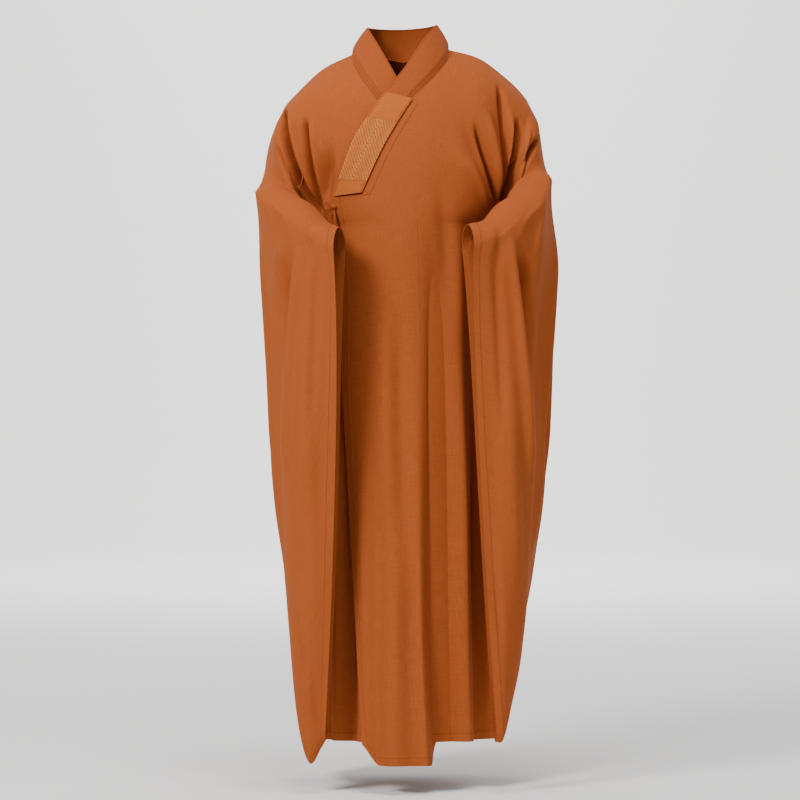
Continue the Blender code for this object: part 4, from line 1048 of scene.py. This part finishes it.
def bandGrid():
    grid = np.zeros((len(freeBand["run"]), collar["spans"] + 1, 3))
    for i, run in enumerate(freeBand["run"].astype(int)):
        surface, u, w = bandSeam(run)
        seam = surface(np.array([u]), np.array([w]))[0]
        free = np.array([freeBand[axis][i] for axis in "xyz"])
        flat = abs(run) >= collar["liesFlat"]
        if flat:
            startY = frontY(surface, seam[0], seam[2])
        out = np.array([seam[0] + free[0], seam[1] + free[1], 0.0])
        out /= max(np.linalg.norm(out), 1e-6)
        for k in range(collar["spans"] + 1):
            share = k / collar["spans"]
            point = seam + (free - seam) * share
            if flat:
                point[1] = seam[1] + frontY(surface, point[0], point[2]) - startY
            else:
                point += out * collar["crown"] * 4 * share * (1 - share)
            grid[i, k] = point
    return grid


band = bandGrid()
bandNormal = gridNormals(band, False)
if bandNormal[:5, :, 1].mean() > 0:
    bandNormal = -bandNormal


# Points of the collar at its runs and shares of its width, lifted off its surface
def bandAt(runs, shares, lift):
    widths = np.linspace(0.0, 1.0, collar["spans"] + 1)
    points = np.zeros((len(runs), len(shares), 3))
    lift = np.broadcast_to(lift, (len(runs), len(shares)))
    for axis in range(3):
        for source, factor in ((band, 1.0), (bandNormal, lift)):
            columns = [curve(freeBand["run"], source[:, k, axis], runs) for k in range(collar["spans"] + 1)]
            points[..., axis] += np.array([curve(widths, row, shares) for row in np.array(columns).T]) * factor
    return points


def bandPiece(name, node, material, runs, shares, lift, wall, relief=0.0):
    outside = bandAt(runs, shares, lift + relief)
    inside = bandAt(runs, shares, lift - wall)
    across = lengthAcross(outside, False)
    along = lengthAlong(outside, False)
    edge = np.minimum(across, across[:, -1:] - across)
    stitch = np.stack([along, edge], axis=-1)
    return clothWall(name, outside, inside, material, node, stitch, np.stack([across, along], axis=-1))


bandRuns = np.linspace(-collar["lastRun"], collar["lastRun"], collar["runs"])
pillow = collar["pillow"] * np.sin(math.pi * np.linspace(0, 1, collar["across"]))[None, :]


def collarLayer(name, node, order, first):
    shares = first + (1.0 - first) * crowded(collar["across"], 0.9)
    lift = collar["lift"] + order * layerRise
    return bandPiece(name, node, collarCloth, bandRuns, shares, lift, cut["collarWall"], pillow)


collarBase = collarLayer("collarBaseCloth", "collar_base", 0, collar["underSeam"])
collarMiddle = collarLayer("collarMiddleCloth", "collar_middle", 1, collar["layerStep"])
collarTop = collarLayer("collarTopCloth", "collar_top", 2, 2 * collar["layerStep"])

patch = dict(
    wall=0.0010,
    top=-9.25,
    quiltTop=-10.62,
    quiltFoot=-13.45,
    foot=-13.98,
    seam=0.008,  # in runs of the band
    margin=0.01,
    rows=20,
    ridge=0.0008,
)
patchLift = collar["lift"] + 3 * layerRise
patchShares = patch["margin"] + 0.98 * crowded(30, 0.9)
upperRuns = np.linspace(patch["quiltTop"] + patch["seam"], patch["top"], 40)
endRuns = np.linspace(patch["foot"], patch["quiltFoot"] - patch["seam"], 24)
quiltRuns = np.linspace(patch["quiltFoot"], patch["quiltTop"], 70)
quiltShares = np.linspace(patch["margin"], 1.0 - patch["margin"], patch["rows"] * 10 + 1)
puffs = np.abs(np.sin(math.pi * patch["rows"] * np.linspace(0, 1, len(quiltShares)))) ** 0.6
patchUpper = bandPiece("patchUpperCloth", "patch_upper", patchCloth, upperRuns, patchShares,
                       patchLift, patch["wall"])
patchEnd = bandPiece("patchEndCloth", "patch_end", patchCloth, endRuns, patchShares,
                     patchLift, patch["wall"])
patchQuilted = bandPiece("patchQuiltedCloth", "patch_quilted", quiltCloth, quiltRuns, quiltShares,
                         patchLift, patch["wall"], patch["ridge"] * puffs[None, :])
print("collar and patch made")

tie = dict(
    knotX=-0.1290,
    knotZ=-0.2980,
    size=(0.0065, 0.0042, 0.0060),  # half sizes: aside, out, up
    clear=0.0006,
    rings=26,
    around=40,
    hollow=0.7,
    halfWidth=0.0034,
    wall=0.0014,
    cup=0.0006,
    stitchAway=0.01,  # keeps the seam's stitches off these small pieces
)
tieU, tieW = frontRowOf(tie["knotX"], tie["knotZ"])
tieGround = outerCloth(np.array([tieU]), np.array([tieW]))[0]
tieOut = normalsOf(outerCloth, np.array([tieU]), np.array([tieW]))[0]
tieOut = -tieOut if tieOut[1] > 0 else tieOut
tieSide = np.array([abs(tieOut[1]), -tieOut[0] * np.sign(tieOut[1]), 0.0])
tieSide /= np.linalg.norm(tieSide)
tieUp = np.cross(tieSide, tieOut)
tieUp = -tieUp if tieUp[2] < 0 else tieUp
tieCentre = tieGround + tieOut * (tie["size"][1] + tie["clear"])


# A strip along points given as aside, out, up, share of the width and lean outward
def tieStrip(name, node, across, startAside, startUp, *points):
    aside, out, up, width, lean = np.array(points).T[..., None]
    spots = tieCentre + tieSide * (startAside + aside) + tieOut * out + tieUp * (startUp + up)
    ways = across + lean * tieOut
    keys = np.arange(len(points), dtype=float)
    at = np.linspace(0, len(points) - 1, 40)
    route = np.stack([curve(keys, spots[:, a], at) for a in range(3)], axis=-1)
    across = np.stack([curve(keys, ways[:, a], at) for a in range(3)], axis=-1)
    across /= np.linalg.norm(across, axis=1, keepdims=True)
    half = curve(keys, tie["halfWidth"] * width[:, 0], at)
    flat = np.cross(across, np.gradient(route, axis=0))
    flat /= np.linalg.norm(flat, axis=1, keepdims=True)
    places = np.linspace(-1, 1, 9)
    cup = tie["cup"] * (places**2)
    grid = route[:, None] + across[:, None] * (places[None, :, None] * half[:, None, None])
    grid = grid + flat[:, None] * cup[None, :, None]
    thick = flat[:, None] * tie["wall"] / 2
    stitch = np.stack([lengthAlong(grid, False), lengthAcross(grid, False) + tie["stitchAway"]], axis=-1)
    return clothWall(name, grid + thick, grid - thick, collarCloth, node, stitch)


tilt = np.linspace(0.02, math.pi - 0.02, tie["rings"])[:, None]
turnAround = np.linspace(0, 2 * math.pi, tie["around"], endpoint=False)[None, :]
swell = 1.0 + 0.10 * np.cos(3 * tilt + 1.5 * np.sin(turnAround)) - 0.06
knotGrid = tieCentre + (
    tieSide * (tie["size"][0] * np.sin(tilt) * np.cos(turnAround) * swell)[..., None]
    + tieOut * (tie["size"][1] * np.sin(tilt) * np.sin(turnAround) * swell)[..., None]
    + tieUp * (tie["size"][2] * np.cos(tilt) * np.ones_like(turnAround))[..., None]
)
knotStitch = np.stack([lengthAlong(knotGrid, True), lengthAcross(knotGrid, True) + tie["stitchAway"]], axis=-1)
knotInside = tieCentre + (knotGrid - tieCentre) * tie["hollow"]
clothWall("tieKnotCloth", knotGrid, knotInside, collarCloth, "tie_knot", knotStitch, ring=True)
knotFoot = -tie["size"][2] - 0.0005
knotSide = -tie["size"][0] - 0.0005
tieStrip(
    "tieTailFrontCloth", "tie_tail_front", tieSide, 0.0, knotFoot,
    (0.0005, 0.0002, 0.0004, 0.7, 0.0),
    (0.003, 0.004, -0.012, 1.0, 0.3),
    (0.004, 0.005, -0.026, 1.0, 0.2),
    (0.002, 0.004, -0.044, 1.0, 0.0),
)
tieStrip(
    "tieTailBackCloth", "tie_tail_back", tieSide, 0.0, knotFoot,
    (-0.004, -0.001, 0.001, 0.6, 0.0),
    (-0.009, 0.0, -0.012, 1.0, -0.3),
    (-0.011, 0.0, -0.024, 1.0, -0.2),
    (-0.010, 0.0, -0.036, 1.0, 0.0),
)
tieStrip(
    "tieLoopCloth", "tie_loop", tieUp, knotSide, 0.0,
    (0.0, 0.0, 0.001, 0.6, 0.3),
    (-0.006, 0.002, 0.006, 0.9, 0.0),
    (-0.010, 0.004, 0.002, 1.0, 0.0),
    (-0.007, 0.006, -0.004, 0.9, 0.0),
    (-0.001, 0.005, -0.003, 0.5, 0.3),
)
print("tie made")

stage = dict(
    floorZ=-1.425,
    floor="#FAF9F7",
    halfWidth=24.0,
    front=-16.0,
    bendFrom=9.0,
    bendRadius=3.0,
    top=14.0,
    worldTint="#F6F7FA",
    world=0.36,
)


# Matt paper: even and without shine, so it gives no reflection of the robe
def plainSurface(name, hexColour):
    material = bpy.data.materials.new(name)
    material.use_nodes = True
    shader = material.node_tree.nodes["Principled BSDF"]
    shader.inputs["Base Color"].default_value = linear(hexColour)
    shader.inputs["Roughness"].default_value = 0.9
    shader.inputs["Specular IOR Level"].default_value = 0.1
    return material


floorMesh = bpy.data.meshes.new("paperSweep")
bend = np.linspace(0.1, math.pi / 2, 16)
bendFrom, radius = stage["bendFrom"], stage["bendRadius"]
sweepAt = [(stage["front"], 0.0), (bendFrom, 0.0)]
sweepAt += [(bendFrom + radius * math.sin(a), radius - radius * math.cos(a)) for a in bend]
sweepAt += [(bendFrom + radius, stage["top"])]
sides = (-stage["halfWidth"], stage["halfWidth"])
sweepPoints = [(x, y, stage["floorZ"] + rise) for y, rise in sweepAt for x in sides]
sweepFaces = [(2 * k, 2 * k + 1, 2 * k + 3, 2 * k + 2) for k in range(len(sweepAt) - 1)]
floorMesh.from_pydata(sweepPoints, [], sweepFaces)
floorMesh.shade_smooth()
floorMesh.materials.append(plainSurface("matt_paper", stage["floor"]))
sweep = bpy.data.objects.new("paperSweep", floorMesh)
bpy.context.scene.collection.objects.link(sweep)


def softLight(name, place, aim, size, power):
    light = bpy.data.lights.new(name, "AREA")
    light.shape = "DISK"
    light.size = size
    light.energy = power
    obj = bpy.data.objects.new(name, light)
    obj.location = place
    heading = np.array(aim) - np.array(place)
    tilt = math.acos(-heading[2] / np.linalg.norm(heading))
    obj.rotation_euler = (tilt, 0.0, math.atan2(heading[1], heading[0]) - math.pi / 2)
    bpy.context.scene.collection.objects.link(obj)


softLight("keySoftbox", (-2.1, -2.9, 1.7), (0.0, 0.0, -0.40), 1.2, 150)
softLight("fillSoftbox", (2.9, -3.4, 0.2), (0.0, 0.0, -0.7), 2.0, 14)
softLight("topSoftbox", (0.1, -0.9, 2.4), (0.0, 0.0, -0.4), 1.2, 55)
softLight("backdropSoftbox", (0.0, 5.5, 4.5), (0.0, 11.5, 0.0), 4.0, 900)
softLight("backLeftSoftbox", (-2.2, 2.0, 0.8), (0.0, 0.0, -0.6), 1.6, 30)
softLight("backRightSoftbox", (2.2, 2.0, 0.8), (0.0, 0.0, -0.6), 1.6, 30)

world = bpy.data.worlds.new("studio")
world.use_nodes = True
world.node_tree.nodes["Background"].inputs["Color"].default_value = linear(stage["worldTint"])
world.node_tree.nodes["Background"].inputs["Strength"].default_value = stage["world"]
bpy.context.scene.world = world

studioCamera = dict(sensor=36.0, away=6.0, across=1.576, place=(-0.0059, -6.0, -0.6737))  # metres across the frame
camera = bpy.data.cameras.new("studioCamera")
camera.sensor_width = studioCamera["sensor"]
camera.lens = studioCamera["sensor"] * studioCamera["away"] / studioCamera["across"]
cameraObject = bpy.data.objects.new("studioCamera", camera)
cameraObject.location = studioCamera["place"]
cameraObject.rotation_euler = (math.pi / 2, 0.0, 0.0)
bpy.context.scene.collection.objects.link(cameraObject)
bpy.context.scene.camera = cameraObject
print("stage, light and camera made")
